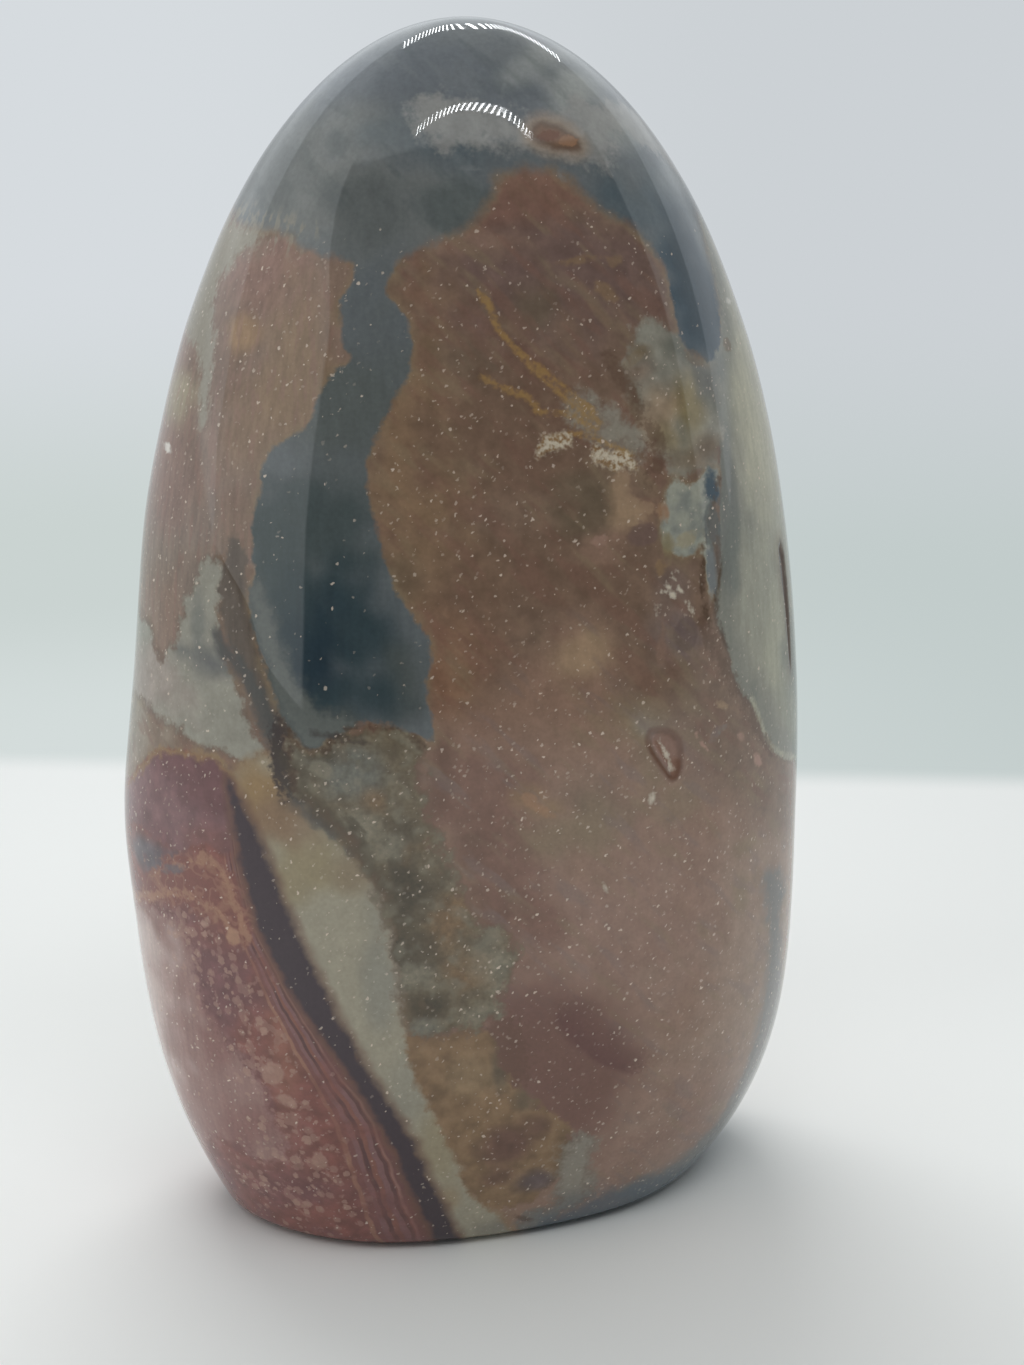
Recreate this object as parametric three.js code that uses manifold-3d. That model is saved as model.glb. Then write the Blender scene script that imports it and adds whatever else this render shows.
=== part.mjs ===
// A polished free-form of polychrome jasper: one solid stone, tall and egg-shaped,
// broad and a little flat on its front and back, that stands on a flat sawn foot.
// Millimetres, +Z up. +X runs across the stone to its right-hand side, and its
// front looks along -Y. The origin is the middle of the foot's level.

import * as THREE from 'three';
import { ParametricGeometry } from 'three/addons/geometries/ParametricGeometry.js';
import { mergeVertices } from 'three/addons/utils/BufferGeometryUtils.js';
import Module from 'manifold-3d';

// Driving dimensions
const HEIGHT = 130;
const HALF_WIDTH = 37.9;
const HALF_DEPTH = 22.9;
const FOOT_EDGE_RADIUS = 1.6;

// Each side's own outline. It is widest at the height of its belly, closes over
// the top by the power crown, and is tucked in by a share of its reach at the foot.
const SIDES = {
  left: { reach: HALF_WIDTH, belly: 39.6, crown: 2.24, tuck: 0.245, tuckPower: 2.3 },
  right: { reach: HALF_WIDTH, belly: 42.3, crown: 2.28, tuck: 0.262, tuckPower: 4.6 },
  front: { reach: HALF_DEPTH, belly: 38.4, crown: 2.6, tuck: 0.233, tuckPower: 3.45 },
  back: { reach: HALF_DEPTH, belly: 46, crown: 2.3, tuck: 0.22, tuckPower: 2.4 },
};

// The left side swells a little at its belly, and is ground a little flatter above.
const LEFT_SWELL = { out: 0.73, height: 45.3, spread: 9 };
const LEFT_FLAT = { out: -0.44, height: 65.3, spread: 10 };

// The ground faces that the round section is flattened towards: the way each one
// looks, in degrees from +X, and how far out it lies compared with the section.
const GROUND_FACES = [
  { looks: 0, distance: 1 },
  { looks: 90, distance: 1 },
  { looks: 180, distance: 1 },
  { looks: -90, distance: 1 },
  { looks: -33, distance: 1.02 },
  { looks: -147, distance: 1.02 },
  { looks: 38, distance: 1.05 },
  { looks: 142, distance: 1.05 },
];
const RIDGE_SHARPNESS = 9;

// The faces fade towards the foot, where the section is closer to an ellipse.
const FLATNESS_AT_FOOT = 0.35;
const FACES_FULL_AT = 40;

// The foot is turned about the upright axis, right-hand end to the back.
const FOOT_TURN = THREE.MathUtils.degToRad(8.6);
const TURN_ENDS_AT = 38;

// A shallow natural hollow in the front face, shaped like a drop. Its tip points
// down, and leans to the right by a few degrees. Its angle is measured from +X.
const HOLLOW = {
  angle: -64.5,
  height: 56.7,
  halfWidth: 2,
  halfHeight: 2.9,
  depth: 0.45,
  taper: 0.45,
  lean: THREE.MathUtils.degToRad(18),
};

// How finely the skin is divided: columns round it, the heights of the rows over
// the foot's rounded edge, and the rows from there to the apex.
const COLUMNS = 64;
const FOOT_ROWS = [0, 0.25, 0.8, FOOT_EDGE_RADIUS];
const BODY_ROWS = 40;

function smoothStep(value) {
  const t = THREE.MathUtils.clamp(value, 0, 1);
  return t * t * (3 - 2 * t);
}

// How far the rounded edge of the foot draws the outline in at a height.
function footInset(z) {
  const drop = Math.max(0, FOOT_EDGE_RADIUS - z);
  return FOOT_EDGE_RADIUS - Math.sqrt(FOOT_EDGE_RADIUS ** 2 - drop ** 2);
}

function sideReach(side, z) {
  const above = THREE.MathUtils.clamp((z - side.belly) / (HEIGHT - side.belly), 0, 1);
  const below = THREE.MathUtils.clamp((side.belly - z) / side.belly, 0, 1);
  const crown = Math.sqrt(1 - above ** side.crown);
  const tuck = 1 - side.tuck * below ** side.tuckPower;
  return side.reach * crown * tuck - footInset(z);
}

// How far a swelling pushes the outline out at a height.
function swelling(swell, z) {
  return swell.out * Math.exp(-(((z - swell.height) / swell.spread) ** 2));
}

function leftReach(z) {
  return sideReach(SIDES.left, z) + swelling(LEFT_SWELL, z) + swelling(LEFT_FLAT, z);
}

// Distance from the axis to the soft polygon that the ground faces make.
function polygonRadius(angle) {
  let sum = 0;
  for (const face of GROUND_FACES) {
    const facing = Math.cos(angle - THREE.MathUtils.degToRad(face.looks));
    sum += Math.max(0, facing / face.distance) ** RIDGE_SHARPNESS;
  }
  return sum ** (-1 / RIDGE_SHARPNESS);
}

// The section's outline with both half-widths 1, between a circle and the polygon.
function sectionPoint(angle, z) {
  const radius = polygonRadius(angle);
  const towardsX = Math.cos(angle) < 0 ? Math.PI : 0;
  const towardsY = Math.sin(angle) < 0 ? -Math.PI / 2 : Math.PI / 2;
  const flatness = FLATNESS_AT_FOOT + (1 - FLATNESS_AT_FOOT) * smoothStep(z / FACES_FULL_AT);
  const across = THREE.MathUtils.lerp(1, radius / polygonRadius(towardsX), flatness);
  const along = THREE.MathUtils.lerp(1, radius / polygonRadius(towardsY), flatness);
  return new THREE.Vector2(across * Math.cos(angle), along * Math.sin(angle));
}

// A point of the stone's skin at an angle round the axis, from +X, and a height.
function skinPoint(angle, z, target) {
  const section = sectionPoint(angle, z);
  const xReach = section.x < 0 ? leftReach(z) : sideReach(SIDES.right, z);
  const ySide = section.y < 0 ? SIDES.front : SIDES.back;
  const x = section.x * xReach;
  const y = section.y * sideReach(ySide, z);
  const turn = FOOT_TURN * smoothStep(1 - z / TURN_ENDS_AT);
  const turnedX = x * Math.cos(turn) - y * Math.sin(turn);
  const turnedY = x * Math.sin(turn) + y * Math.cos(turn);
  return target.set(turnedX, turnedY, z);
}

// Rows run from the middle of the foot out to its edge, and up to the apex. They
// are spaced by a sine, so that they crowd together where the top closes.
function rowHeight(row) {
  if (row < FOOT_ROWS.length) {
    return FOOT_ROWS[row];
  }
  const t = (row - FOOT_ROWS.length + 1) / BODY_ROWS;
  const rise = HEIGHT - FOOT_EDGE_RADIUS;
  return FOOT_EDGE_RADIUS + rise * Math.sin((t * Math.PI) / 2);
}

function stoneSkin() {
  const stacks = FOOT_ROWS.length + BODY_ROWS;
  const place = (u, v, target) => {
    const column = Math.round(u * COLUMNS) % COLUMNS;
    const row = Math.round(v * stacks);
    if (row === 0) {
      target.set(0, 0, 0);
    } else if (row === stacks) {
      target.set(0, 0, HEIGHT);
    } else {
      skinPoint((2 * Math.PI * column) / COLUMNS, rowHeight(row - 1), target);
    }
  };
  return new ParametricGeometry(place, COLUMNS, stacks);
}

// Merges a geometry's shared corners and drops the triangles that close to a line.
function closedSolid(wasm, geometry) {
  geometry.deleteAttribute('normal');
  geometry.deleteAttribute('uv');
  const merged = mergeVertices(geometry, 1e-4);
  const corners = Array.from(merged.index.array);
  const triangles = [];
  for (let i = 0; i < corners.length; i += 3) {
    const [a, b, c] = corners.slice(i, i + 3);
    if (a !== b && b !== c && c !== a) {
      triangles.push(a, b, c);
    }
  }
  const vertProperties = new Float32Array(merged.attributes.position.array);
  const triVerts = new Uint32Array(triangles);
  return new wasm.Manifold(new wasm.Mesh({ numProp: 3, vertProperties, triVerts }));
}

// The hollow is cut by a flat drop-shaped ball that sits in the skin.
function hollowCutter() {
  const angle = THREE.MathUtils.degToRad(HOLLOW.angle);
  const centre = skinPoint(angle, HOLLOW.height, new THREE.Vector3());
  const beside = skinPoint(angle + 0.02, HOLLOW.height, new THREE.Vector3());
  const above = skinPoint(angle, HOLLOW.height + 1, new THREE.Vector3());
  const across = beside.sub(centre).normalize();
  const outward = across.clone().cross(above.sub(centre)).normalize();
  const up = outward.clone().cross(across);

  const ball = new THREE.SphereGeometry(1, 14, 9);
  const corner = ball.attributes.position;
  for (let i = 0; i < corner.count; i += 1) {
    const narrowing = 1 - HOLLOW.taper * Math.max(0, -corner.getY(i));
    corner.setX(i, corner.getX(i) * narrowing);
  }
  ball.scale(HOLLOW.halfWidth, HOLLOW.halfHeight, HOLLOW.depth);
  ball.rotateZ(HOLLOW.lean);
  ball.applyMatrix4(new THREE.Matrix4().makeBasis(across, up, outward).setPosition(centre));
  return ball;
}

function meshGeometry(solid) {
  const mesh = solid.getMesh();
  const geometry = new THREE.BufferGeometry();
  geometry.setAttribute('position', new THREE.BufferAttribute(mesh.vertProperties, 3));
  geometry.setIndex(new THREE.BufferAttribute(mesh.triVerts, 1));
  geometry.computeVertexNormals();
  return geometry;
}

// Sets the middle of the box round the stone over the origin, with the foot at 0.
function centreOverFoot(geometry) {
  geometry.computeBoundingBox();
  const middle = geometry.boundingBox.getCenter(new THREE.Vector3());
  geometry.translate(-middle.x, -middle.y, 0);
}

const wasm = await Module();
wasm.setup();

const stoneSolid = closedSolid(wasm, stoneSkin()).subtract(closedSolid(wasm, hollowCutter()));
const stoneGeometry = meshGeometry(stoneSolid);
centreOverFoot(stoneGeometry);

const polishedJasper = new THREE.MeshStandardMaterial({
  color: 0x8c6f63,
  roughness: 0.22,
  metalness: 0,
});

const stone = new THREE.Mesh(stoneGeometry, polishedJasper);
stone.name = 'stone';

const group = new THREE.Group();
group.add(stone);

export default group;
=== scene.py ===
# %% [markdown]
# # A polished polychrome jasper
#
# This lesson dresses one solid stone: a tall, egg-shaped free-form of polychrome
# jasper that stands on a flat sawn foot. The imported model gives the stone's size
# and place. Here its skin is made again at a fine resolution, its natural patches of
# colour are drawn on it, and it gets a polished stone finish.

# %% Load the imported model
import math

import bmesh
import bpy
import numpy as np
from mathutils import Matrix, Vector
from mathutils import noise as perlin


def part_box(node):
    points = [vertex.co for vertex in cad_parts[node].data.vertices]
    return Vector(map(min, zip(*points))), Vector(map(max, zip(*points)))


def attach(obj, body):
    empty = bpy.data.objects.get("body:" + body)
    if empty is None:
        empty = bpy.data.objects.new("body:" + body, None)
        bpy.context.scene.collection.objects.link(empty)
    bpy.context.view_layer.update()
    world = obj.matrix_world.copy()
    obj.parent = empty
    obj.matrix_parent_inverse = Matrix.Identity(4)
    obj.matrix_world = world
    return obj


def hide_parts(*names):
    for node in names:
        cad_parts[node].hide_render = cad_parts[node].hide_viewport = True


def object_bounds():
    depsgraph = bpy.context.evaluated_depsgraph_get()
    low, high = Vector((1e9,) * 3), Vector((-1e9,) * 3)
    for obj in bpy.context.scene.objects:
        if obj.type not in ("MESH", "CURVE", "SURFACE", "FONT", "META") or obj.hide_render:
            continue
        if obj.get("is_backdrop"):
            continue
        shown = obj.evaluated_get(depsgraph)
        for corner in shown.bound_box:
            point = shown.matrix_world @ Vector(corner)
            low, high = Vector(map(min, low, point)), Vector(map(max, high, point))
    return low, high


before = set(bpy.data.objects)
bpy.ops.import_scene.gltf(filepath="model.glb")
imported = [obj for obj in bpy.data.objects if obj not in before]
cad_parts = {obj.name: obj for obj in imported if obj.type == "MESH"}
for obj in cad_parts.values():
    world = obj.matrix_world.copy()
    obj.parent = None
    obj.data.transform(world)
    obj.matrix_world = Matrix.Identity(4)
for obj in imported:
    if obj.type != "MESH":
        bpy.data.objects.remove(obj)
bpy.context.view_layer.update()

# %% [markdown]
# ## Wires and nets
#
# Both the shape and the finish are node trees. Writing a long formula as separate
# nodes is hard to read, so a small class wraps a socket and turns ordinary Python
# sums into Math nodes. Colours and places go through Mix and Vector Math nodes.

# %% A class for node trees
MM = 0.001


class Wire:
    """One value that travels between nodes. Arithmetic on it adds Math nodes."""

    def __init__(self, net, socket):
        self.net = net
        self.socket = socket

    def __add__(self, other):
        return self.net.math("ADD", self, other)

    def __radd__(self, other):
        return self.net.math("ADD", other, self)

    def __sub__(self, other):
        return self.net.math("SUBTRACT", self, other)

    def __rsub__(self, other):
        return self.net.math("SUBTRACT", other, self)

    def __mul__(self, other):
        return self.net.math("MULTIPLY", self, other)

    def __rmul__(self, other):
        return self.net.math("MULTIPLY", other, self)

    def __truediv__(self, other):
        return self.net.math("DIVIDE", self, other)

    def __rtruediv__(self, other):
        return self.net.math("DIVIDE", other, self)

    def __pow__(self, other):
        return self.net.math("POWER", self, other)

    def __neg__(self):
        return self.net.math("MULTIPLY", self, -1.0)

    def at_least(self, other):
        return self.net.math("MAXIMUM", self, other)

    def at_most(self, other):
        return self.net.math("MINIMUM", self, other)

    def share(self):
        """The value kept between 0 and 1."""
        return self.at_least(0.0).at_most(1.0)

    def step(self, low, high):
        """Rises softly from 0 at low to 1 at high."""
        values = {"Value": self, "From Min": low, "From Max": high}
        return self.net.node("ShaderNodeMapRange", {"interpolation_type": "SMOOTHSTEP"}, values)


class Net:
    """A node tree. One method makes every node: its type, settings and sockets."""

    def __init__(self, tree):
        self.tree = tree
        tree.nodes.clear()

    def node(self, kind, settings=None, values=None, output=0):
        made = self.tree.nodes.new(kind)
        for name, value in (settings or {}).items():
            setattr(made, name, value)
        for key, value in (values or {}).items():
            self.put(made.inputs[key], value)
        return Wire(self, made.outputs[output]) if made.outputs else made

    def put(self, socket, value):
        if isinstance(value, Wire):
            self.tree.links.new(value.socket, socket)
        else:
            socket.default_value = value

    def math(self, operation, first, second=0.0):
        return self.node("ShaderNodeMath", {"operation": operation}, {0: first, 1: second})

    def vector_math(self, operation, first, second):
        settings = {"operation": operation}
        return self.node("ShaderNodeVectorMath", settings, {0: first, 1: second})

    def scaled(self, vector, size):
        return self.node("ShaderNodeVectorMath", {"operation": "SCALE"}, {0: vector, "Scale": size})

    def join(self, x, y, z):
        return self.node("ShaderNodeCombineXYZ", values={0: x, 1: y, 2: z})

    def split(self, vector):
        made = self.node("ShaderNodeSeparateXYZ", values={0: vector})
        return [Wire(self, socket) for socket in made.socket.node.outputs]

    def mix(self, share, first, second):
        """A colour between first and second."""
        return self.node("ShaderNodeMix", {"data_type": "RGBA"}, {0: share, 6: first, 7: second}, 2)


# %% [markdown]
# ## The camera
#
# The photograph was taken from a little above the stone and slightly to its left.
# The camera's place is given by the way that it looks and how far away it stands,
# which were found by laying the stone's outline over the photograph's.

# %% Place the camera
CAMERA_TURN = math.radians(-8.4)
CAMERA_TILT = math.radians(14.83)
CAMERA_DISTANCE = 222.3 * MM
CAMERA_AIM = Vector((5.24, 0, 59.08)) * MM
CAMERA_LENS = 52.28

lens = bpy.data.cameras.new("camera")
lens.sensor_width = 36
lens.lens = CAMERA_LENS
lens.clip_start = 0.01
lens.clip_end = 20
camera = bpy.data.objects.new("camera", lens)
bpy.context.scene.collection.objects.link(camera)
towards_camera = Vector(
    (
        math.sin(CAMERA_TURN) * math.cos(CAMERA_TILT),
        -math.cos(CAMERA_TURN) * math.cos(CAMERA_TILT),
        math.sin(CAMERA_TILT),
    )
)
camera.location = CAMERA_AIM + towards_camera * CAMERA_DISTANCE
camera.rotation_euler = (-towards_camera).to_track_quat("-Z", "Y").to_euler()
bpy.context.scene.camera = camera
bpy.context.scene.view_settings.view_transform = "Standard"
print("camera height, mm:", round(camera.location.z * 1000, 1))

# %% [markdown]
# ## The stone's skin
#
# The stone is a rule: at every height its section is a soft polygon, and four
# outlines, left, right, front and back, say how far the section reaches. Geometry
# Nodes work the rule out on a sphere: each point of the sphere is moved to its own
# place on the stone. Two numbers are stored on every point, the angle round the
# stone from its front and the height, and together they are a map of the skin on
# which the patches of colour can be drawn.

# %% The stone's sizes
SIDES = {
    "Left": {"Belly": 39.6, "Crown": 2.24, "Tuck": 0.245, "Tuck Power": 2.3},
    "Right": {"Belly": 42.3, "Crown": 2.28, "Tuck": 0.262, "Tuck Power": 4.6},
    "Front": {"Belly": 38.4, "Crown": 2.6, "Tuck": 0.233, "Tuck Power": 3.45},
    "Back": {"Belly": 46, "Crown": 2.3, "Tuck": 0.22, "Tuck Power": 2.4},
}
# The way each ground face looks, in degrees from +X, and how far out it lies.
GROUND_FACES = {0: 1, 90: 1, 180: 1, -90: 1, -33: 1.02, -147: 1.02, 38: 1.05, 142: 1.05}
RIDGE_SHARPNESS = 9
FLATNESS_AT_FOOT = 0.35
FACES_FULL_AT = 40
TURN_ENDS_AT = 38
LEFT_SWELL = 0.73
LEFT_SWELL_AT = 45.3
LEFT_SWELL_SPREAD = 9
LEFT_FLAT_AT = 65.3
LEFT_FLAT_SHARE = 0.6
LEFT_FLAT_SPREAD = 10
UNEVEN_FROM = 2.0
UNEVEN_FULL_AT = 14.0
# The shares of the sphere, from its lower pole up, that make the foot and its edge.
FOOT_SHARE = 0.05
EDGE_SHARE = 0.022
FOOT_CHART_DEPTH = 25
COLUMNS = 336
ROWS = 276

stone_low, stone_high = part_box("stone")
SIZES = {
    "Height": (stone_high[2] - stone_low[2]) / MM,
    "Half Width": (stone_high[0] - stone_low[0]) / 2 / MM - LEFT_SWELL / 2,
    "Half Depth": (stone_high[1] - stone_low[1]) / 2 / MM,
    "Foot Edge": 1.6,
    "Foot Turn": math.radians(8.6),
    "Left Swell": LEFT_SWELL,
    "Unevenness": 0.16,
    "Unevenness Grain": 17.0,
}
for side, outline in SIDES.items():
    SIZES.update({f"{side} {name}": value for name, value in outline.items()})
print("sizes that drive the stone:", len(SIZES))


# %% The section's soft polygon
def polygon_radius(angle, cosine, positive):
    """Distance from the axis to the soft polygon, for a number or for a wire."""
    total = 0.0
    for looks, distance in GROUND_FACES.items():
        facing = cosine(angle - math.radians(looks)) * (1 / distance)
        total = total + positive(facing) ** RIDGE_SHARPNESS
    return total ** (-1 / RIDGE_SHARPNESS)


def axis_radius(degrees):
    return polygon_radius(math.radians(degrees), math.cos, lambda value: max(0.0, value))


print("polygon radius on its four axes:", [round(axis_radius(a), 4) for a in (0, 90, 180, -90)])


# %% Build the tree
def new_geometry_tree(name, sizes):
    tree = bpy.data.node_groups.new(name, "GeometryNodeTree")
    net = Net(tree)
    tree.interface.new_socket("Geometry", in_out="OUTPUT", socket_type="NodeSocketGeometry")
    kinds = {float: "NodeSocketFloat", int: "NodeSocketInt"}
    for title, value in sizes.items():
        kind = kinds[type(value)]
        tree.interface.new_socket(title, in_out="INPUT", socket_type=kind).default_value = value
    tree.interface.new_socket("Material", in_out="INPUT", socket_type="NodeSocketMaterial")
    made = tree.nodes.new("NodeGroupInput")
    given = {socket.name: Wire(net, socket) for socket in made.outputs if socket.name}
    return net, given


def side_reach(given, side, half, z, inset):
    belly = given[f"{side} Belly"]
    above = ((z - belly) / (given["Height"] - belly)).share()
    below = ((belly - z) / belly).share()
    crown = (1 - above ** given[f"{side} Crown"]).at_least(0.0) ** 0.5
    tuck = 1 - given[f"{side} Tuck"] * below ** given[f"{side} Tuck Power"]
    return given[half] * crown * tuck - inset


def stone_tree():
    counts = {"Columns": COLUMNS, "Rows": ROWS, "Seed": 4}
    sizes = {name: float(value) for name, value in SIZES.items()}
    net, given = new_geometry_tree("stone skin", counts | sizes)

    def cosine(value):
        return net.math("COSINE", value)

    ball_values = {"Segments": given["Columns"], "Rings": given["Rows"], "Radius": 1.0}
    ball = net.node("GeometryNodeMeshUVSphere", None, ball_values)
    x, y, z = net.split(net.node("GeometryNodeInputPosition"))
    angle = net.math("ARCTAN2", y, x)
    rank = 1 - net.math("ARCCOSINE", z.at_least(-1.0).at_most(1.0)) * (1 / math.pi)

    foot_share = (rank / FOOT_SHARE).share()
    edge_share = ((rank - FOOT_SHARE) / EDGE_SHARE).share() * (math.pi / 2)
    body_start = FOOT_SHARE + EDGE_SHARE
    body_share = ((rank - body_start) / (1 - body_start)).share() * (math.pi / 2)
    edge = given["Foot Edge"]
    height = edge * (1 - cosine(edge_share))
    height = height + (given["Height"] - edge) * net.math("SINE", body_share)
    inset = edge * (1 - net.math("SINE", edge_share))

    radius = polygon_radius(angle, cosine, lambda wire: wire.at_least(0.0))
    flatness = FLATNESS_AT_FOOT + (1 - FLATNESS_AT_FOOT) * height.step(0.0, FACES_FULL_AT)
    is_left = net.math("LESS_THAN", x, 0.0)
    is_front = net.math("LESS_THAN", y, 0.0)
    x_radius = axis_radius(180) * is_left + axis_radius(0) * (1 - is_left)
    y_radius = axis_radius(-90) * is_front + axis_radius(90) * (1 - is_front)
    across = (1 + (radius / x_radius - 1) * flatness) * cosine(angle)
    along = (1 + (radius / y_radius - 1) * flatness) * net.math("SINE", angle)
    reach = {}
    for side in SIDES:
        half = "Half Width" if side in ("Left", "Right") else "Half Depth"
        reach[side] = side_reach(given, side, half, height, inset)
    swell = net.math("EXPONENT", -((height - LEFT_SWELL_AT) / LEFT_SWELL_SPREAD) ** 2)
    flat = net.math("EXPONENT", -((height - LEFT_FLAT_AT) / LEFT_FLAT_SPREAD) ** 2)
    left_reach = reach["Left"] + given["Left Swell"] * (swell - flat * LEFT_FLAT_SHARE)
    x_reach = left_reach * is_left + reach["Right"] * (1 - is_left)
    y_reach = reach["Front"] * is_front + reach["Back"] * (1 - is_front)
    x_place = across * x_reach * foot_share
    y_place = along * y_reach * foot_share

    turn = given["Foot Turn"] * (1 - height.step(0.0, TURN_ENDS_AT))
    turned_x = x_place * cosine(turn) - y_place * net.math("SINE", turn)
    turned_y = x_place * net.math("SINE", turn) + y_place * cosine(turn)
    centred_x = turned_x + given["Left Swell"] / 2
    place = net.scaled(net.join(centred_x, turned_y, height), MM)

    chart_angle = net.math("ARCTAN2", x, -y) * (180 / math.pi)
    chart_height = height + (foot_share - 1) * FOOT_CHART_DEPTH
    shape = ball
    for name, value in {"angle": chart_angle, "height": chart_height, "rank": rank}.items():
        values = {"Geometry": shape, "Name": name, "Value": value}
        shape = net.node("GeometryNodeStoreNamedAttribute", {"data_type": "FLOAT"}, values)
    shape = net.node("GeometryNodeSetPosition", None, {"Geometry": shape, "Position": place})

    grain = given["Unevenness Grain"] * MM
    noise_values = {"Vector": net.node("GeometryNodeInputPosition"), "W": given["Seed"]}
    noise_values.update({"Scale": 1 / grain, "Detail": 1.0})
    wave = net.node("ShaderNodeTexNoise", {"noise_dimensions": "4D"}, noise_values) - 0.5
    stored = net.node("GeometryNodeInputNamedAttribute", {"data_type": "FLOAT"}, {"Name": "height"})
    uneven = stored.step(UNEVEN_FROM, UNEVEN_FULL_AT)
    wave = wave * given["Unevenness"] * 2 * MM * uneven
    push = net.scaled(net.node("GeometryNodeInputNormal"), wave)
    shape = net.node("GeometryNodeSetPosition", None, {"Geometry": shape, "Offset": push})
    shape = net.node("GeometryNodeRealizeInstances", None, {"Geometry": shape})
    values = {"Geometry": shape, "Material": given["Material"]}
    shape = net.node("GeometryNodeSetMaterial", None, values)
    net.node("NodeGroupOutput", None, {"Geometry": shape})
    return net.tree


def solid_from_tree(name, tree, inputs):
    """Runs a geometry tree on an empty mesh and keeps the result as a plain mesh."""
    holder = bpy.data.objects.new(name, bpy.data.meshes.new(name + " start"))
    bpy.context.scene.collection.objects.link(holder)
    modifier = holder.modifiers.new(name, "NODES")
    modifier.node_group = tree
    for item in tree.interface.items_tree:
        if item.item_type == "SOCKET" and item.in_out == "INPUT" and item.name in inputs:
            modifier[item.identifier] = inputs[item.name]
    graph = bpy.context.evaluated_depsgraph_get()
    mesh = bpy.data.meshes.new_from_object(holder.evaluated_get(graph), depsgraph=graph)
    holder.modifiers.clear()
    holder.data = mesh
    mesh.name = name
    return holder


jasper = bpy.data.materials.new("polychrome jasper")
stone = solid_from_tree("jasper_stone", stone_tree(), {"Material": jasper})
print("points on the skin:", len(stone.data.vertices))

# %% [markdown]
# ## The map of the skin
#
# A map needs to say where a spot of it lies on the stone. The points came from a
# sphere, so they form a grid of rows and columns, and any spot of the map is found
# between four points of that grid. On the flat foot the map goes on with heights
# below 0, down to the middle of the foot.


# %% Read the skin back as a grid
def read_points(mesh, name):
    values = np.zeros(len(mesh.vertices))
    mesh.attributes[name].data.foreach_get("value", values)
    return values


def read_places(mesh):
    places = np.zeros(len(mesh.vertices) * 3)
    mesh.vertices.foreach_get("co", places)
    return places.reshape(-1, 3) / MM


class SkinMap:
    """Turns an angle round the stone and a height into a place on its skin, in mm."""

    def __init__(self, mesh):
        row = np.rint(read_points(mesh, "rank") * ROWS).astype(int)
        turn = (read_points(mesh, "angle") + 180) * COLUMNS / 360
        column = np.rint(turn).astype(int) % COLUMNS
        inner = (row > 0) & (row < ROWS)
        self.places = np.zeros((ROWS - 1, COLUMNS, 3))
        self.places[row[inner] - 1, column[inner]] = read_places(mesh)[inner]
        self.heights = np.zeros(ROWS - 1)
        self.heights[row[inner] - 1] = read_points(mesh, "height")[inner]

    def place(self, angle, height):
        turn = (np.asarray(angle, float) + 180) * COLUMNS / 360
        before = np.floor(turn).astype(int)
        across = (turn - before)[..., None]
        last = len(self.heights) - 1
        level = np.interp(height, self.heights, np.arange(last + 1))
        under = np.minimum(np.floor(level).astype(int), last - 1)
        up = (level - under)[..., None]
        left, right = before % COLUMNS, (before + 1) % COLUMNS
        low = self.places[under, left] * (1 - across) + self.places[under, right] * across
        over = under + 1
        high = self.places[over, left] * (1 - across) + self.places[over, right] * across
        return low * (1 - up) + high * up


skin = SkinMap(stone.data)
print("a spot on the front at 60 mm:", skin.place(0, 60).round(1))

# %% [markdown]
# ## Finer points where the stone has hollows
#
# A natural hollow shaped like a drop lies low on the right of the front, and a thin
# crease runs down the right-hand side. They are only a few millimetres wide, so the
# mesh is divided again around them before they are pressed in.

# %% Divide the skin round the hollows
# Each window is given as its left and right angle, then its low and high height.
FINE_WINDOWS = [(19, 31, 50, 61), (61, 73, 60, 77)]


def divide_windows(mesh, windows):
    work = bmesh.new()
    work.from_mesh(mesh)
    angle = work.verts.layers.float["angle"]
    height = work.verts.layers.float["height"]
    edges = set()
    for left, right, low, high in windows:
        for face in work.faces:
            spot = face.verts[0]
            if left < spot[angle] < right and low < spot[height] < high:
                edges.update(face.edges)
    bmesh.ops.subdivide_edges(work, edges=list(edges), cuts=2, use_grid_fill=True)
    bmesh.ops.triangulate(work, faces=[face for face in work.faces if len(face.verts) > 4])
    work.to_mesh(mesh)
    work.free()


divide_windows(stone.data, FINE_WINDOWS)
stone.data.calc_loop_triangles()
print("triangles on the skin:", len(stone.data.loop_triangles))
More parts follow.
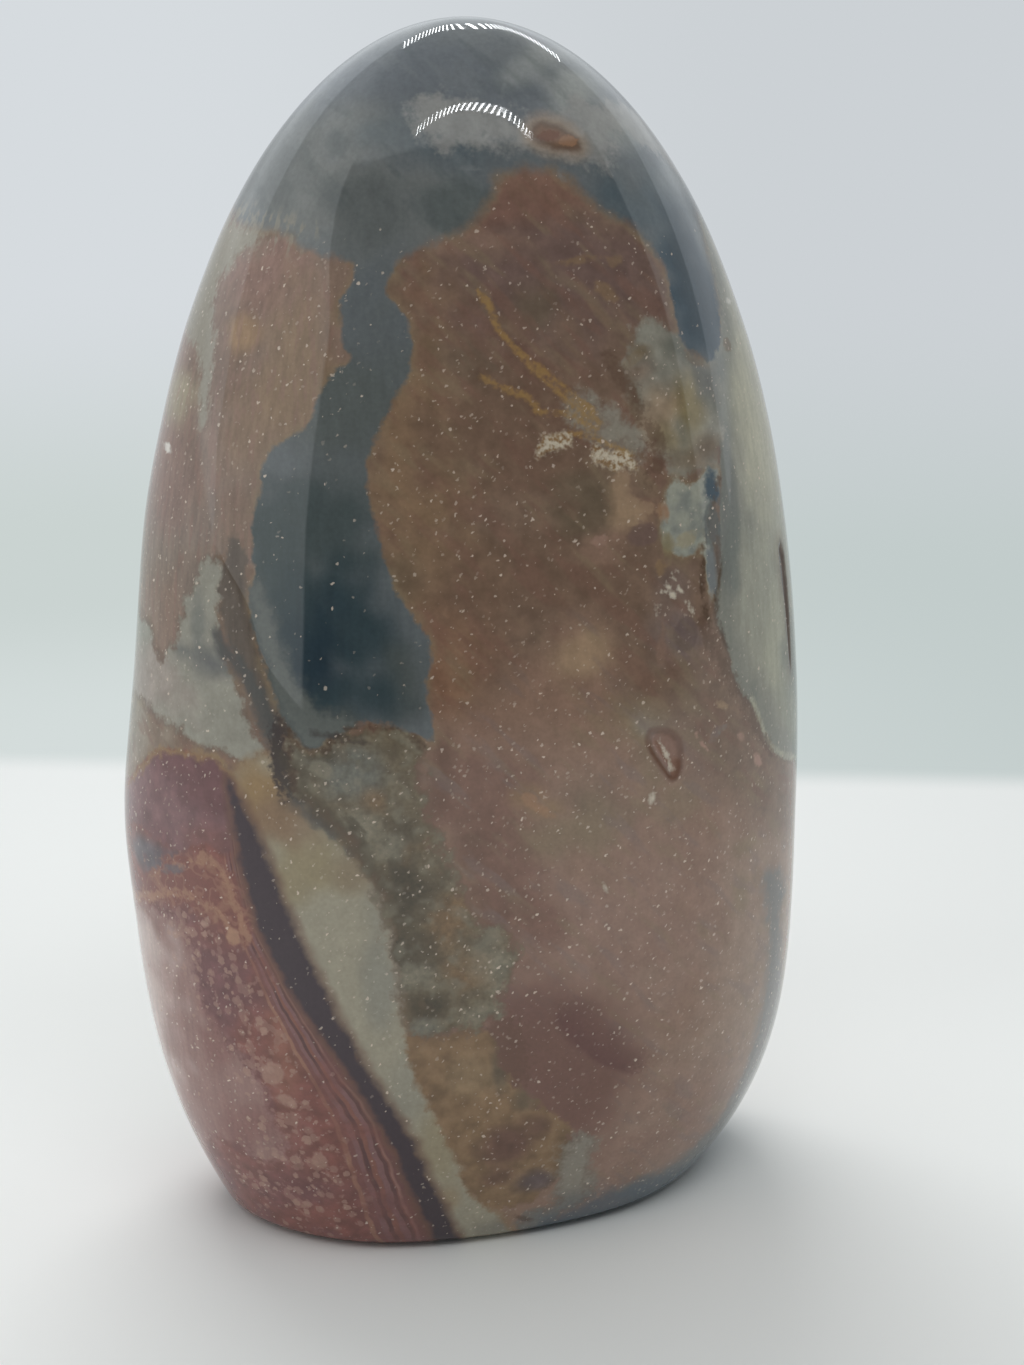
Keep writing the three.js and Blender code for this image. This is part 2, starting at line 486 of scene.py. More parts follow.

# %% [markdown]
# ## Drawing the patches
#
# The colours of this jasper lie in patches with crisp, wandering borders. Each patch
# is drawn on the map as a few points of its border, angle then height. When
# the outline of the stone was fitted again, a program moved the points drawn until
# then by up to 1.5 degrees and 1.8 mm, and many are still as it left them. A smooth
# line goes through them, and every point of the skin stores how far it lies from
# that line, in millimetres: more than 0 inside the patch, less outside. The finish
# can then place a border anywhere, fray it with noise, or run a rim along it.

# %% Borders of the slate cap and its river
PATCHES = {}
LINES = {}
PATCHES["slate"] = [
    [
        (-180, 95.6), (-175, 96.2), (-168, 100.6), (-160, 101.4), (-153, 97.4), (-147, 96),
        (-142, 99.6), (-133, 101), (-124, 104.6), (-109, 109), (-94.4, 111), (-78.4, 110.2),
        (-66.4, 109.4), (-55.6, 109.2), (-46.4, 108.8), (-38.8, 107.4), (-31, 106.6),
        (-26.2, 105.4), (-27.8, 102.4), (-26.8, 99.2), (-24.6, 97), (-28.8, 94.4), (-30.8, 90.6),
        (-35.4, 89), (-39, 86.8), (-38.8, 84.8), (-39.8, 80.8), (-38.6, 76.4), (-39.8, 73.4),
        (-37.4, 68.8), (-34.2, 64.4), (-30.8, 60.6), (-27.4, 58.6), (-24.4, 59.8), (-19.8, 61.4),
        (-14.8, 61), (-9.6, 59.4), (-10.8, 64.6), (-10.4, 69.6), (-14.8, 74), (-17.6, 78.8),
        (-19.6, 83.4), (-20.6, 87.2), (-17.8, 91.6), (-14.6, 96), (-15.2, 100.4), (-19.4, 103.4),
        (-17.6, 106.2), (-10.2, 108.2), (-3.2, 109.6), (0.6, 112), (3.8, 114.4), (10, 115),
        (17.6, 114.8), (22, 112.9), (26.4, 111), (31.4, 109.7), (35.4, 107.6), (38.2, 104.2),
        (36.8, 101), (38, 97.6), (43.8, 96), (50, 97), (55.2, 99.8), (58.8, 103.4), (64, 107.6),
        (70.4, 110.2), (80.4, 110.6), (92.4, 108), (104.4, 103), (113, 99.4), (121, 93.6),
        (127, 89.6), (132, 90.4), (137, 86), (140, 79.6), (146, 76.4), (151, 70), (153, 63.4),
        (158, 58.6), (164, 53), (170, 50.6), (172, 52.8), (168, 57.6), (166, 63), (161, 67.6),
        (160, 73.6), (156, 79), (157, 85), (163, 89), (171, 90.4), (176, 94.4), (180, 95.6),
        (180, 131), (-180, 131),
    ],
]
PATCHES["lavender"] = [
    [
        (-38.6, 76), (-36, 74.2), (-34.4, 72.2), (-32.8, 69.4), (-31, 67), (-28.8, 64.8),
        (-26.4, 63), (-21.8, 62.6), (-19.8, 61.4), (-24.8, 59), (-27.8, 58.4), (-31, 60.6),
        (-34.6, 64.4), (-37.8, 69.2), (-40.2, 73.8),
    ],
    [
        (150, 71), (152, 63.4), (157, 58.6), (164, 52), (171, 49.6), (173, 52.8), (168, 55.4),
        (163, 60.6), (158, 65.6), (155, 71),
    ],
]
PATCHES["pale band"] = [
    [
        (-20.8, 120.4), (-12.8, 122), (-3, 121.8), (8.6, 120), (16.2, 119.6), (25.8, 120.8),
        (33.2, 122.2), (42.4, 121.2), (58.4, 121.4), (74.4, 120.6), (92.4, 118.4), (106.4, 114),
        (90.4, 113.4), (72.4, 114.2), (58.4, 116.4), (46.4, 118.4), (39.2, 117.8), (30.8, 115),
        (22.2, 116), (10.4, 116.8), (-3.2, 117), (-13, 117),
    ],
    [(-176, 112), (-160, 108), (-144, 107), (-130, 111), (-138, 115), (-156, 114), (-170, 117)],
]
PATCHES["eye"] = [
    [
        (13.6, 118), (14.6, 119), (17.6, 119.5), (21.6, 119.2), (25, 118.3), (26.2, 117.4),
        (25, 116.7), (21, 116.6), (16.6, 117),
    ],
]
PATCHES["fringe"] = [
    [
        (-82, 111.6), (-70, 111.4), (-58, 111), (-44, 110.4), (-36, 109), (-42, 107), (-54, 107.4),
        (-68, 107.4), (-80, 108),
    ],
]
print("slate patches:", len(PATCHES))

# %% Borders of the upper left
PATCHES["blush"] = [
    [
        (-69.6, 104.2), (-64.4, 106), (-56.4, 108.2), (-46.4, 108.6), (-38.6, 108.4), (-27, 108.4),
        (-19.4, 100.6), (-23.4, 88.8), (-31.6, 80.8), (-37.8, 74.8), (-41.6, 78.8), (-46.8, 77.4),
        (-52, 75.6), (-59, 69.6), (-65.6, 66), (-71.6, 69), (-81.6, 69.6), (-95.2, 72.2),
        (-108, 77.2), (-118, 86), (-115.8, 95), (-102.8, 101.2), (-90.4, 101.2), (-78.4, 99.4),
        (-71.6, 101),
    ],
]
PATCHES["mint streak"] = [
    [
        (-80.4, 110), (-66.4, 109.4), (-54.4, 108.8), (-64.4, 106), (-70, 103.2), (-64.4, 100),
        (-60.4, 96), (-57.8, 90.8), (-60, 90), (-64.8, 94.4), (-70.4, 97.2), (-82.4, 98.2),
        (-98.4, 101.2), (-111.2, 106), (-96.4, 110.4),
    ],
]
PATCHES["lilac"] = [
    [
        (-58.2, 70.6), (-53.4, 75.2), (-48.4, 77.2), (-46, 74.8), (-47.2, 70.8), (-45, 67),
        (-40.8, 63.8), (-37, 59.4), (-35.8, 56.4), (-41, 57.4), (-50.2, 57.8), (-58.6, 59),
        (-68.4, 59.6), (-79.6, 60.6), (-93.6, 60.4), (-105.6, 64), (-99.6, 69.2), (-85.6, 68.8),
        (-73.6, 67.8), (-69.6, 65.8), (-65.6, 65), (-61.4, 67),
    ],
]
PATCHES["umber"] = [
    [
        (-45.4, 78.2), (-42.6, 79.4), (-40, 75.8), (-38.6, 71.2), (-36.2, 66.6), (-32.6, 62.6),
        (-30.2, 59), (-30, 56.2), (-30.8, 55), (-34, 59.8), (-39, 65.2), (-44.4, 69.2),
        (-46.8, 72.8),
    ],
]
PATCHES["ash strand"] = [
    [
        (-48.4, 70.2), (-43.4, 68.6), (-36.9, 65.2), (-33.4, 61), (-31.2, 56.6), (-27.6, 53.6),
        (-23.4, 50.6), (-20.6, 47.4), (-24.4, 49.6), (-29.4, 52.6), (-32.4, 56), (-36.4, 60.8),
        (-41.6, 65.6), (-46.8, 67.6),
    ],
]
print("patches so far:", len(PATCHES))

# %% Borders of the left foot
PATCHES["cream"] = [
    [
        (-41, 55), (-38.2, 56.8), (-34.4, 57.6), (-31.2, 54.8), (-25.4, 51.2), (-20.2, 47),
        (-16.4, 42), (-14.6, 37.6), (-14, 32), (-15, 27.4), (-15.2, 23.4), (-13.4, 17.4),
        (-11.4, 12.6), (-9.6, 7.6), (-6, 5), (-3, 2.6), (2, -5), (-4, -23), (-24, -23), (-11, -3),
        (-16, 5), (-18.6, 14.4), (-22, 21.2), (-25.4, 29.6), (-29.6, 37.6), (-34.4, 46),
        (-38.8, 52.6),
    ],
    [
        (-140, -12), (-136.4, 2), (-133, 14), (-133.4, 26), (-125, 38), (-113, 45.4), (-101, 48),
        (-94, 48.4), (-101, 51.2), (-112, 51.6), (-122, 50), (-131, 45.6), (-138, 41.4), (-141, 36),
        (-147.6, 31), (-149, 24), (-146, 17), (-150, 9), (-149, 2), (-156, -6), (-158, -12),
    ],
]
PATCHES["red"] = [
    [
        (-42, 55), (-46.8, 56.6), (-56, 56.6), (-64.2, 56), (-71.4, 54), (-80.4, 51.2), (-94.4, 49),
        (-108.8, 44.2), (-122, 36), (-130, 26), (-132, 12), (-135, 0), (-140, -12), (-130, -24),
        (-16, -24), (-11, -3), (-16.4, 3.4), (-18.6, 11.4), (-22.8, 19.8), (-27.4, 28), (-32.2, 37),
        (-36.8, 46.4), (-39.8, 52),
    ],
]
PATCHES["plum"] = [
    [
        (-39.6, 51.6), (-42.6, 55), (-46.8, 56.2), (-56, 56), (-65.8, 55), (-72.6, 52.6),
        (-82.4, 49.6), (-94.4, 47.6), (-88.4, 44.8), (-74.4, 46.6), (-64.4, 46.2), (-55.6, 45.8),
        (-48.4, 47), (-42, 47.2), (-39.8, 49.4),
    ],
]
PATCHES["tan web"] = [
    [
        (-62.4, 43.6), (-54.4, 45.6), (-46.4, 45.8), (-41.2, 45), (-37.6, 42), (-36.8, 38.8),
        (-40.8, 36.6), (-46.6, 38.6), (-54.4, 39.2), (-64.4, 39), (-76.4, 37.2), (-90.4, 34.6),
        (-76.4, 38.4),
    ],
]
PATCHES["charcoal"] = [
    [
        (-42.6, 55), (-40.4, 50), (-38.8, 45), (-36.5, 40), (-33.5, 35), (-30, 30), (-26.6, 25),
        (-24.2, 20.6), (-23, 18), (-22, 15), (-21, 10), (-19.8, 5), (-18, 1), (-15, -9), (-8, -9),
        (-12.8, 1), (-15, 5), (-16.8, 10), (-18.2, 15), (-20.4, 20), (-22.8, 25), (-25, 30),
        (-27.2, 35), (-30, 40), (-32.2, 44), (-34.6, 48), (-38.4, 52),
    ],
    [
        (-110, 43), (-121, 35.6), (-128.6, 26), (-130.8, 12), (-134, 0), (-142, -14), (-146, -8),
        (-137.6, 3), (-134.2, 14), (-134.6, 26), (-126, 38), (-114, 45.6),
    ],
]
PATCHES["flesh"] = [
    [
        (-57, 37.6), (-53.4, 34), (-54.4, 29.6), (-51, 26.4), (-47.4, 24.6), (-44, 22), (-43.6, 18),
        (-43, 14.4), (-46, 12), (-52, 11), (-60, 12.4), (-70, 11), (-80, 9), (-100, 14), (-115, 25),
        (-108, 38), (-90, 41), (-78, 37.2), (-66, 37.6),
    ],
]
print("patches so far:", len(PATCHES))

# %% Borders of the mottled middle and the foot
PATCHES["moss"] = [
    [
        (-31, 59.4), (-27.2, 58.2), (-23.8, 60), (-17.8, 60.8), (-11.6, 59.4), (-11.4, 56),
        (-10.4, 52), (-8, 47.6), (-4.8, 42.4), (-3, 39.6), (0.6, 38.8), (2.4, 36.4), (1.2, 32.4),
        (-1.8, 28.8), (-7.6, 27.6), (-14, 27.8), (-15.6, 32), (-15.8, 38), (-17.8, 45), (-22.4, 50),
        (-28.6, 54),
    ],
    [
        (-158, -12), (-155, -5), (-149, 2), (-150, 9), (-146, 17), (-149, 24), (-147.6, 31),
        (-141, 36), (-138, 41.4), (-131, 45.6), (-135, 50), (-144, 51), (-149, 46.4), (-155, 47.6),
        (-159, 44), (-158, 38.6), (-164, 35), (-167, 29.4), (-163, 25), (-165, 18.6), (-170, 14),
        (-168, 6), (-173, 1), (-174, -12),
    ],
]
PATCHES["honey"] = [
    [
        (-15, 27.8), (-8.6, 27.6), (-3, 28), (-1.4, 23.6), (2, 19.6), (6.6, 16.6), (9.2, 13.8),
        (8.2, 9.8), (5, 6.2), (-0.8, 5), (-6, 5), (-9.6, 7.6), (-11.4, 12.6), (-13.4, 17.4),
        (-15.4, 23),
    ],
    [
        (-174, -12), (-173, 1), (-168, 6), (-170, 14), (-165, 18.6), (-163, 25), (-169, 27.4),
        (-176, 24), (-181, 16), (-179, 8), (-184, 2), (-186, -12),
    ],
]
PATCHES["wine"] = [
    [
        (-5, 28.5), (-1, 33), (5, 34.5), (12, 33), (18, 30.4), (22.4, 26), (23, 21), (20, 15.8),
        (14, 11.6), (8, 10), (2, 15), (-4, 21),
    ],
]
PATCHES["wine arc"] = [
    [
        (7, 31), (8, 28.2), (10.6, 24.8), (15.6, 21.8), (20.6, 20), (26, 19), (40, 24), (44, 36),
        (30, 44), (10, 42), (5, 35),
    ],
]
PATCHES["pearl foot"] = [
    [
        (7.8, 12.6), (11.2, 13.6), (13.4, 12.4), (12.8, 9.4), (14.2, 7), (14.6, 4), (8.4, 3.4),
        (2.8, 3.4), (1.2, 1.4), (10, -2), (7.6, 5.4),
    ],
]
PATCHES["blue foot"] = [
    [
        (11.6, 3), (18.4, 4.4), (27, 4.6), (40.4, 3.8), (56.4, 4.4), (77.6, 4), (97.6, 6.2),
        (113.2, 3.8), (110, -6), (80, -16), (30, -18), (4, -14), (3, -4), (4.6, 1.4),
    ],
]
PATCHES["rosy"] = [
    [
        (-12, 61), (-6, 62), (-1, 63.6), (4, 66), (8, 69), (11, 71), (15, 71), (17.6, 69),
        (18.5, 65), (21, 63), (25, 60.5), (30, 57), (36, 52), (44, 48), (56, 44), (80, 41),
        (110, 38), (125, 30), (132, 10), (132, -24), (-12, -24), (-8, 10), (-10, 40),
    ],
    [
        (-178, 88), (-166, 90), (-154, 86), (-146, 88), (-136, 80), (-131, 70), (-137, 64),
        (-134, 57), (-146, 53), (-153, 58), (-163, 55), (-171, 61), (-169, 68), (-177, 74),
    ],
]
PATCHES["frost"] = [
    [
        (51, 39.4), (55, 40.4), (61, 39), (64.6, 36.4), (63, 34), (64, 30), (68, 25), (72, 20),
        (80, 16), (92, 16), (100, 8), (96, -6), (60, -10), (24, 3), (33, 5.4), (41, 7.2),
        (47, 10.6), (51, 15.6), (53, 21), (55, 26.4), (55, 32.6), (53, 36.4),
    ],
]
print("patches so far:", len(PATCHES))

# %% Borders of the right-hand side
PATCHES["pearl side"] = [
    [
        (45.2, 96.2), (51.4, 97.4), (57.2, 101.4), (63.6, 107.2), (70.4, 110.2), (82.4, 110.6),
        (96.4, 107.6), (108, 104.4), (117, 98.6), (121, 91.6), (128, 86), (134, 85), (137, 79),
        (133, 72), (136, 66), (141, 61), (137, 56.4), (129, 57), (124, 50.4), (126, 43.6),
        (121, 39), (114, 42.4), (110, 48), (101, 46.6), (93, 49.6), (82, 49.4), (69.6, 51.2),
        (59.2, 52.6), (52.4, 55), (46.8, 59.2), (41.2, 62.6), (38.6, 66.8), (36.2, 71.2),
        (37.8, 76.2), (40.6, 82.6), (43, 88.6),
    ],
]
PATCHES["lichen"] = [
    [
        (23.6, 96.6), (27.2, 99.4), (31.2, 100.4), (35.6, 99), (39, 97), (45.2, 96.2), (46.2, 92.4),
        (43.2, 88.2), (40.8, 85.2), (35.2, 85.2), (31.8, 85), (27.6, 87.4), (24.4, 90.4),
        (23.8, 93),
    ],
]
PATCHES["sky"] = [
    [
        (28, 83), (30, 84.6), (33.4, 84), (37.2, 85.4), (41.2, 85), (39.6, 82.6), (36.2, 81.2),
        (35.2, 78.4), (31, 76.8), (26.8, 78.2), (26.8, 80.4),
    ],
    [(34.8, 78), (36.6, 78), (37.4, 75.6), (36.4, 72.4), (34.8, 73.8)],
]
PATCHES["deep blue"] = [[(37, 84.4), (38.8, 85.2), (40, 83.6), (38.8, 82), (37.4, 82.6)]]
# The thin crease down the right-hand side. Its dark fill is painted shade.
PATCHES["shaded crease"] = [
    [(64, 74.4), (66.8, 76), (69.4, 74), (69.4, 68.4), (68.6, 62.4), (66.8, 62), (65.6, 68)],
]
PATCHES["pocket"] = [
    [
        (12.8, 93), (16.4, 93.6), (21, 91.6), (24.8, 89), (24.4, 87.2), (20.8, 87.6), (16.4, 89.4),
        (13, 91.2),
    ],
]
PATCHES["crystal"] = [
    [(7.2, 88), (9.4, 89.6), (12.8, 90), (13.4, 88.8), (10.8, 88.2), (8.6, 87.6)],
    [(16.2, 88.4), (18.8, 88.2), (22.6, 87.2), (23.2, 86), (19.8, 85.8), (17.2, 86.8)],
]
PATCHES["hollow"] = [
    [
        (23.8, 59.4), (26, 59.2), (28, 58), (28.4, 56), (27.8, 54.4), (26.6, 53.8), (25, 55.2),
        (23.2, 57.2), (22.8, 58.6),
    ],
]
print("patches in all:", len(PATCHES))

# %% Veins and seams
LINES["ochre vein"] = [
    [(-1.8, 103.2), (0, 102), (1.4, 100), (4.6, 97.8), (8.6, 96), (12.4, 94.2), (17.4, 91.4)],
    [(6, 96.8), (10, 94.6), (13.8, 92.4), (16, 91)],
    [(-1.4, 95.2), (3.6, 93.8), (6.6, 93.2), (8.2, 91.8), (12.4, 91.6), (16, 90.4), (18.4, 90.6)],
    [(13, 89.8), (16.8, 89.2), (19.4, 88.4), (22.8, 87.4)],
    [(171, 66), (160, 61), (151, 63), (140, 58)],
    [(171, 66), (168, 58), (158, 54), (150, 50)],
]
LINES["dark seam"] = [
    [
        (-31, 60.6), (-28.8, 58.8), (-25.6, 58.6), (-22.8, 60.6), (-17.8, 61), (-13.6, 60.2),
        (-11.2, 58.6),
    ],
    [(-31, 60.6), (-30.6, 57.6), (-29.8, 54.2)],
    [(35, 68.8), (33.4, 72.8), (34.6, 76.8), (36.8, 80.6), (40.6, 84.2)],
    [(38.6, 66.8), (36.4, 71.4), (38.4, 77)],
]
LINES["red strand"] = [
    [(20.6, 97), (22.6, 94.8), (25, 92.4), (26.8, 89.6), (27.4, 87), (25, 85)],
    [(33, 70), (36.4, 66), (40, 63), (44, 60), (48, 56.8), (53, 54)],
]
# A painted shadow: the dark shade along a crevice, which the mesh does not have.
LINES["crevice shadow"] = [[(56.8, 100.6), (60, 104.5), (63, 107.3), (67, 110), (74, 111.2), (84, 111)]]
LINES["petal trail"] = [
    [(-52, 37), (-47, 33), (-42, 29), (-39.6, 25), (-40, 20), (-38.4, 15), (-37, 10)],
    [(-36, 8), (-41, 5.6), (-47, 6), (-52, 8)],
]
LINES["tan ribbon"] = [
    [
        (-92, 36), (-80, 37.4), (-70, 38.6), (-62, 40.2), (-55, 41), (-50, 40.8), (-45, 40.2),
        (-42, 38),
    ],
    [(-57, 43.6), (-51, 45), (-46, 46), (-42.6, 44.4), (-40.4, 41), (-38.6, 38)],
]
LINES["tip rim"] = [
    [(45.4, 61), (48.2, 58.2), (52, 55.2), (56, 53.8), (63.2, 52.2), (73.6, 50.8), (90, 49)],
]
LINES["graze"] = [[(31, 58.4), (32.2, 57.2), (33.6, 56.2)]]
LINES["quartz threads and hollow glint"] = [
    # The first path is a painted reflection: a white glint on the hollow's floor. The others are
    # quartz threads.
    [(24.8, 58), (25.8, 56.8), (26.8, 55)],
    [(24.8, 72.4), (24.9, 70.6)],
    [(26.2, 73.6), (27.2, 74.6), (28.6, 75.4)],
    [(27.6, 73), (29.2, 74)],
    [(30.2, 72.4), (31, 70.8)],
]
print("lines:", len(LINES))

# %% [markdown]
# ## Measuring the distances
#
# The distance is measured in space, on the stone itself, so it is true in
# millimetres even where the map stretches the skin. Whether a point is inside or
# outside is read off the map.

# %% Distances from every border
FAR = 12.0
CURVE_STEPS = 5


def smooth_line(points, closed):
    """A smooth curve through given points, by the Catmull-Rom rule."""
    spots = np.array(points, float)
    if closed:
        spots = np.vstack([spots[-1], spots, spots[:2]])
    else:
        spots = np.vstack([2 * spots[0] - spots[1], spots, 2 * spots[-1] - spots[-2]])
    share = np.linspace(0, 1, CURVE_STEPS, endpoint=False)[:, None]
    runs = []
    for before, start, end, after in zip(spots, spots[1:], spots[2:], spots[3:]):
        cubic = 3 * start - before - 3 * end + after
        square = 2 * before - 5 * start + 4 * end - after
        runs.append(start + (end - before + (square + cubic * share) * share) * share / 2)
    runs.append(spots[-2][None])
    return np.vstack(runs)


def distance_to(places, line):
    """Distance from each place to a line of short straight runs, up to FAR."""
    low, high = line.min(0) - FAR, line.max(0) + FAR
    near = np.all((places > low) & (places < high), axis=1)
    close = places[near]
    best = np.full(len(close), FAR**2)
    for start, end in zip(line, line[1:]):
        run = end - start
        along = np.clip((close - start) @ run / max(run @ run, 1e-9), 0, 1)
        gap = close - start - along[:, None] * run
        best = np.minimum(best, np.einsum("ij,ij->i", gap, gap))
    result = np.full(len(places), FAR)
    result[near] = np.sqrt(best)
    return result


def inside(angle, height, border):
    """True where a spot of the map lies inside a border, by counting crossings."""
    within = np.zeros(len(angle), bool)
    for (a0, h0), (a1, h1) in zip(border, np.roll(border, -1, axis=0)):
        if h0 != h1:
            crossing = (h0 > height) != (h1 > height)
            within ^= crossing & (angle < a0 + (height - h0) * (a1 - a0) / (h1 - h0))
    return within


def store(mesh, name, values):
    layer = mesh.attributes.new(name, "FLOAT", "POINT")
    layer.data.foreach_set("value", values.astype(np.float32))


def draw_patches(mesh):
    places = read_places(mesh)
    angle, height = read_points(mesh, "angle"), read_points(mesh, "height")
    for name, borders in PATCHES.items():
        depth = np.full(len(places), -FAR)
        for border in borders:
            curve = smooth_line(border, closed=True)
            seen = curve[curve[:, 1] < SIZES["Height"]]
            gap = distance_to(places, skin.place(seen[:, 0], seen[:, 1]))
            within = np.zeros(len(places), bool)
            for turn in (-360, 0, 360):
                within |= inside(angle + turn, height, curve)
            depth = np.maximum(depth, np.where(within, gap, -gap))
        store(mesh, name, depth)
    for name, paths in LINES.items():
        gap = np.full(len(places), FAR)
        for path in paths:
            curve = smooth_line(path, closed=False)
            gap = np.minimum(gap, distance_to(places, skin.place(curve[:, 0], curve[:, 1])))
        store(mesh, name, gap)


draw_patches(stone.data)
print("numbers stored on each point:", len(PATCHES) + len(LINES))

# %% [markdown]
# ## Pressing in the hollows
#
# The stored distances also shape the skin. The hollow and the crease are pressed in
# along the skin's own direction, deepest in the middle.

# %% Press in the hollows
# How deep each is in millimetres, and how far its slope reaches in from its border.
PRESSED = {"hollow": (0.45, 1.1), "shaded crease": (0.25, 0.9)}


def eased(share):
    """A share from 0 to 1 that starts and ends gently."""
    share = np.clip(share, 0, 1)
    return share * share * (3 - 2 * share)


def press(mesh):
    places = read_places(mesh)
    normals = np.zeros(len(mesh.vertices) * 3)
    mesh.vertex_normals.foreach_get("vector", normals)
    for name, (deep, slope) in PRESSED.items():
        depth = deep * eased(read_points(mesh, name) / slope)
        places -= depth[:, None] * normals.reshape(-1, 3)
    mesh.vertices.foreach_set("co", (places * MM).ravel())
    mesh.update()


press(stone.data)
for polygon in stone.data.polygons:
    polygon.use_smooth = True
print("hollows pressed in:", list(PRESSED))

# %% [markdown]
# ## The stone's colours
#
# A colour is written as it looks on the polished stone in daylight, in the usual 0 to
# 255 scale, and turned into the linear numbers that the shader needs.


# %% Colours in the stone's own words
def paint(red, green, blue):
    """A shader colour from the everyday 0 to 255 scale."""
    linear = []
    for part in (red, green, blue):
        share = part / 255
        linear.append(share / 12.92 if share < 0.04045 else ((share + 0.055) / 1.055) ** 2.4)
    return (*linear, 1.0)


TINTS = {
    "cocoa": (139, 115, 98),
    "chocolate": (130, 105, 88),
    "plum brown": (126, 103, 95),
    "brick": (138, 104, 90),
    "ochre brown": (148, 121, 96),
    "khaki": (150, 132, 106),
    "olive": (116, 102, 84),
    "tan": (178, 150, 122),
    "rosy brown": (158, 128, 110),
    "rose": (162, 131, 116),
    "pale rose": (170, 146, 128),
    "mauve": (140, 122, 116),
    "terracotta": (174, 134, 104),
    "beige": (160, 148, 132),
    "slate": (112, 117, 119),
    "cap green": (133, 135, 132),
    "cap blue": (108, 114, 120),
    "dusk": (106, 110, 109),
    "deep blue": (58, 80, 94),
    "slate blue": (94, 106, 112),
    "foot blue": (96, 108, 118),
    "frost grey": (112, 118, 119),
    "frost": (143, 147, 146),
    "cap pale": (158, 161, 157),
    "river": (104, 109, 107),
    "river dark": (80, 90, 90),
    "navy": (62, 77, 82),
    "deep navy": (46, 62, 72),
    "river grey": (90, 96, 94),
    "blush": (149, 126, 111),
    "blush red": (152, 119, 107),
    "grey pink": (146, 129, 117),
    "apricot": (166, 135, 104),
    "ochre blush": (153, 128, 103),
    "pale yellow": (174, 163, 136),
    "mint": (155, 149, 133),
    "shell": (159, 155, 142),
    "shell pink": (172, 158, 148),
    "smoke": (112, 112, 110),
    "umber": (106, 94, 84),
    "ash": (86, 86, 84),
    "night brown": (70, 60, 58),
    "cream": (172, 164, 144),
    "cream yellow": (162, 148, 118),
    "cream grey": (152, 149, 136),
    "ochre": (160, 132, 95),
    "moss": (122, 109, 88),
    "moss grey": (128, 127, 117),
    "moss dark": (86, 77, 62),
    "moss ochre": (144, 115, 84),
    "moss pale": (150, 143, 124),
    "honey": (146, 118, 89),
    "honey light": (158, 134, 104),
    "rust": (117, 87, 74),
    "purple grey": (110, 94, 91),
    "wine": (122, 86, 77),
    "deep wine": (112, 76, 72),
    "red": (136, 87, 79),
    "maroon": (124, 84, 84),
    "dusty red": (136, 92, 86),
    "orange red": (150, 102, 86),
    "flesh": (158, 124, 117),
    "far flesh": (206, 184, 177),
    "plum": (122, 86, 87),
    "plum light": (140, 107, 108),
    "violet grey": (112, 103, 108),
    "web tan": (184, 142, 116),
    "petal": (184, 148, 132),
    "charcoal": (72, 60, 66),
    "ribbon": (174, 130, 106),
    "dark line": (92, 66, 66),
    "side": (167, 164, 148),
    "side grey": (122, 124, 117),
    "side light": (192, 188, 164),
    "pearl": (163, 158, 144),
    "lichen": (155, 151, 138),
    "lichen grey": (118, 118, 108),
    "lichen yellow": (152, 138, 104),
    "lichen brown": (124, 104, 82),
    "sky": (174, 174, 160),
    "shaded crease": (92, 70, 58),
    "band": (154, 153, 149),
    "vein": (178, 142, 88),
    "crystal": (232, 222, 202),
    "seam": (88, 70, 56),
    "speck": (238, 220, 202),
    "white": (238, 232, 222),
    "lavender": (112, 116, 112),
    "hollow rim": (118, 84, 70),
    "hollow floor": (156, 122, 106),
    "eye brown": (108, 86, 72),
    "eye red": (116, 70, 54),
    "eye orange": (158, 122, 96),
}
TINTS = {name: paint(*everyday) for name, everyday in TINTS.items()}
print("tints:", len(TINTS))

# %% [markdown]
# ## Grounds: the broad clouds of colour
#
# Inside one patch the colour drifts from place to place, as minerals seeped in from
# different sides. These drifts are broad and soft, so they are worked out on the
# points of the skin, one ground colour for each family of patches. A ground starts as
# one tint. Clouds of other tints are then laid over it, each with its middle on the
# map, its reach across and up in millimetres, and its strength.

# %% Grounds of the body and the cap
GROUNDS = {}
GROUNDS["body"] = [
    ("cocoa",),
    ("plum brown", (11, 104), (17, 8), 1.0),
    ("brick", (14, 112.6), (8, 2.6), 0.7),
    ("ochre brown", (-13, 86), (6, 18), 1.0),
    ("rust", (7.5, 88), (4, 3), 0.5),
    ("ochre brown", (-8, 70), (6, 10), 0.7),
    ("olive", (-15, 76), (2.4, 3), 0.5),
    ("brick", (-5, 68), (6, 5), 0.5),
    ("rust", (-9.2, 62.6), (2, 6), 0.9),
    ("terracotta", (-7.5, 66), (2.4, 6), 0.35),
    ("rosy brown", (-4, 108), (6, 1.2), 0.5),
    ("chocolate", (5, 90), (10, 7), 0.9),
    ("chocolate", (9, 76), (12, 5), 0.8),
    ("rosy brown", (17.6, 79), (2.2, 2.6), 0.8),
    ("mauve", (29, 69), (3.2, 3.4), 0.9),
    ("mauve", (28, 74), (2.4, 2.6), 0.5),
    ("olive", (8, 101.5), (3.4, 2.6), 0.7),
    ("olive", (15, 83), (4, 2.8), 0.8),
    ("olive", (-4, 97), (4, 2.4), 0.5),
    ("tan", (22.4, 81.4), (2.0, 1.4), 0.9),
    ("tan", (20.4, 84), (1.2, 2.0), 0.7),
    ("brick", (27, 86), (1.6, 2.4), 0.5),
    ("beige", (-80, 57), (11, 4.5), 0.9),
    ("slate blue", (158, 70), (6, 6), 0.5),
    ("ochre brown", (-150, 76), (10, 12), 0.8),
    ("rosy brown", (180, 84), (12, 12), 0.7),
]
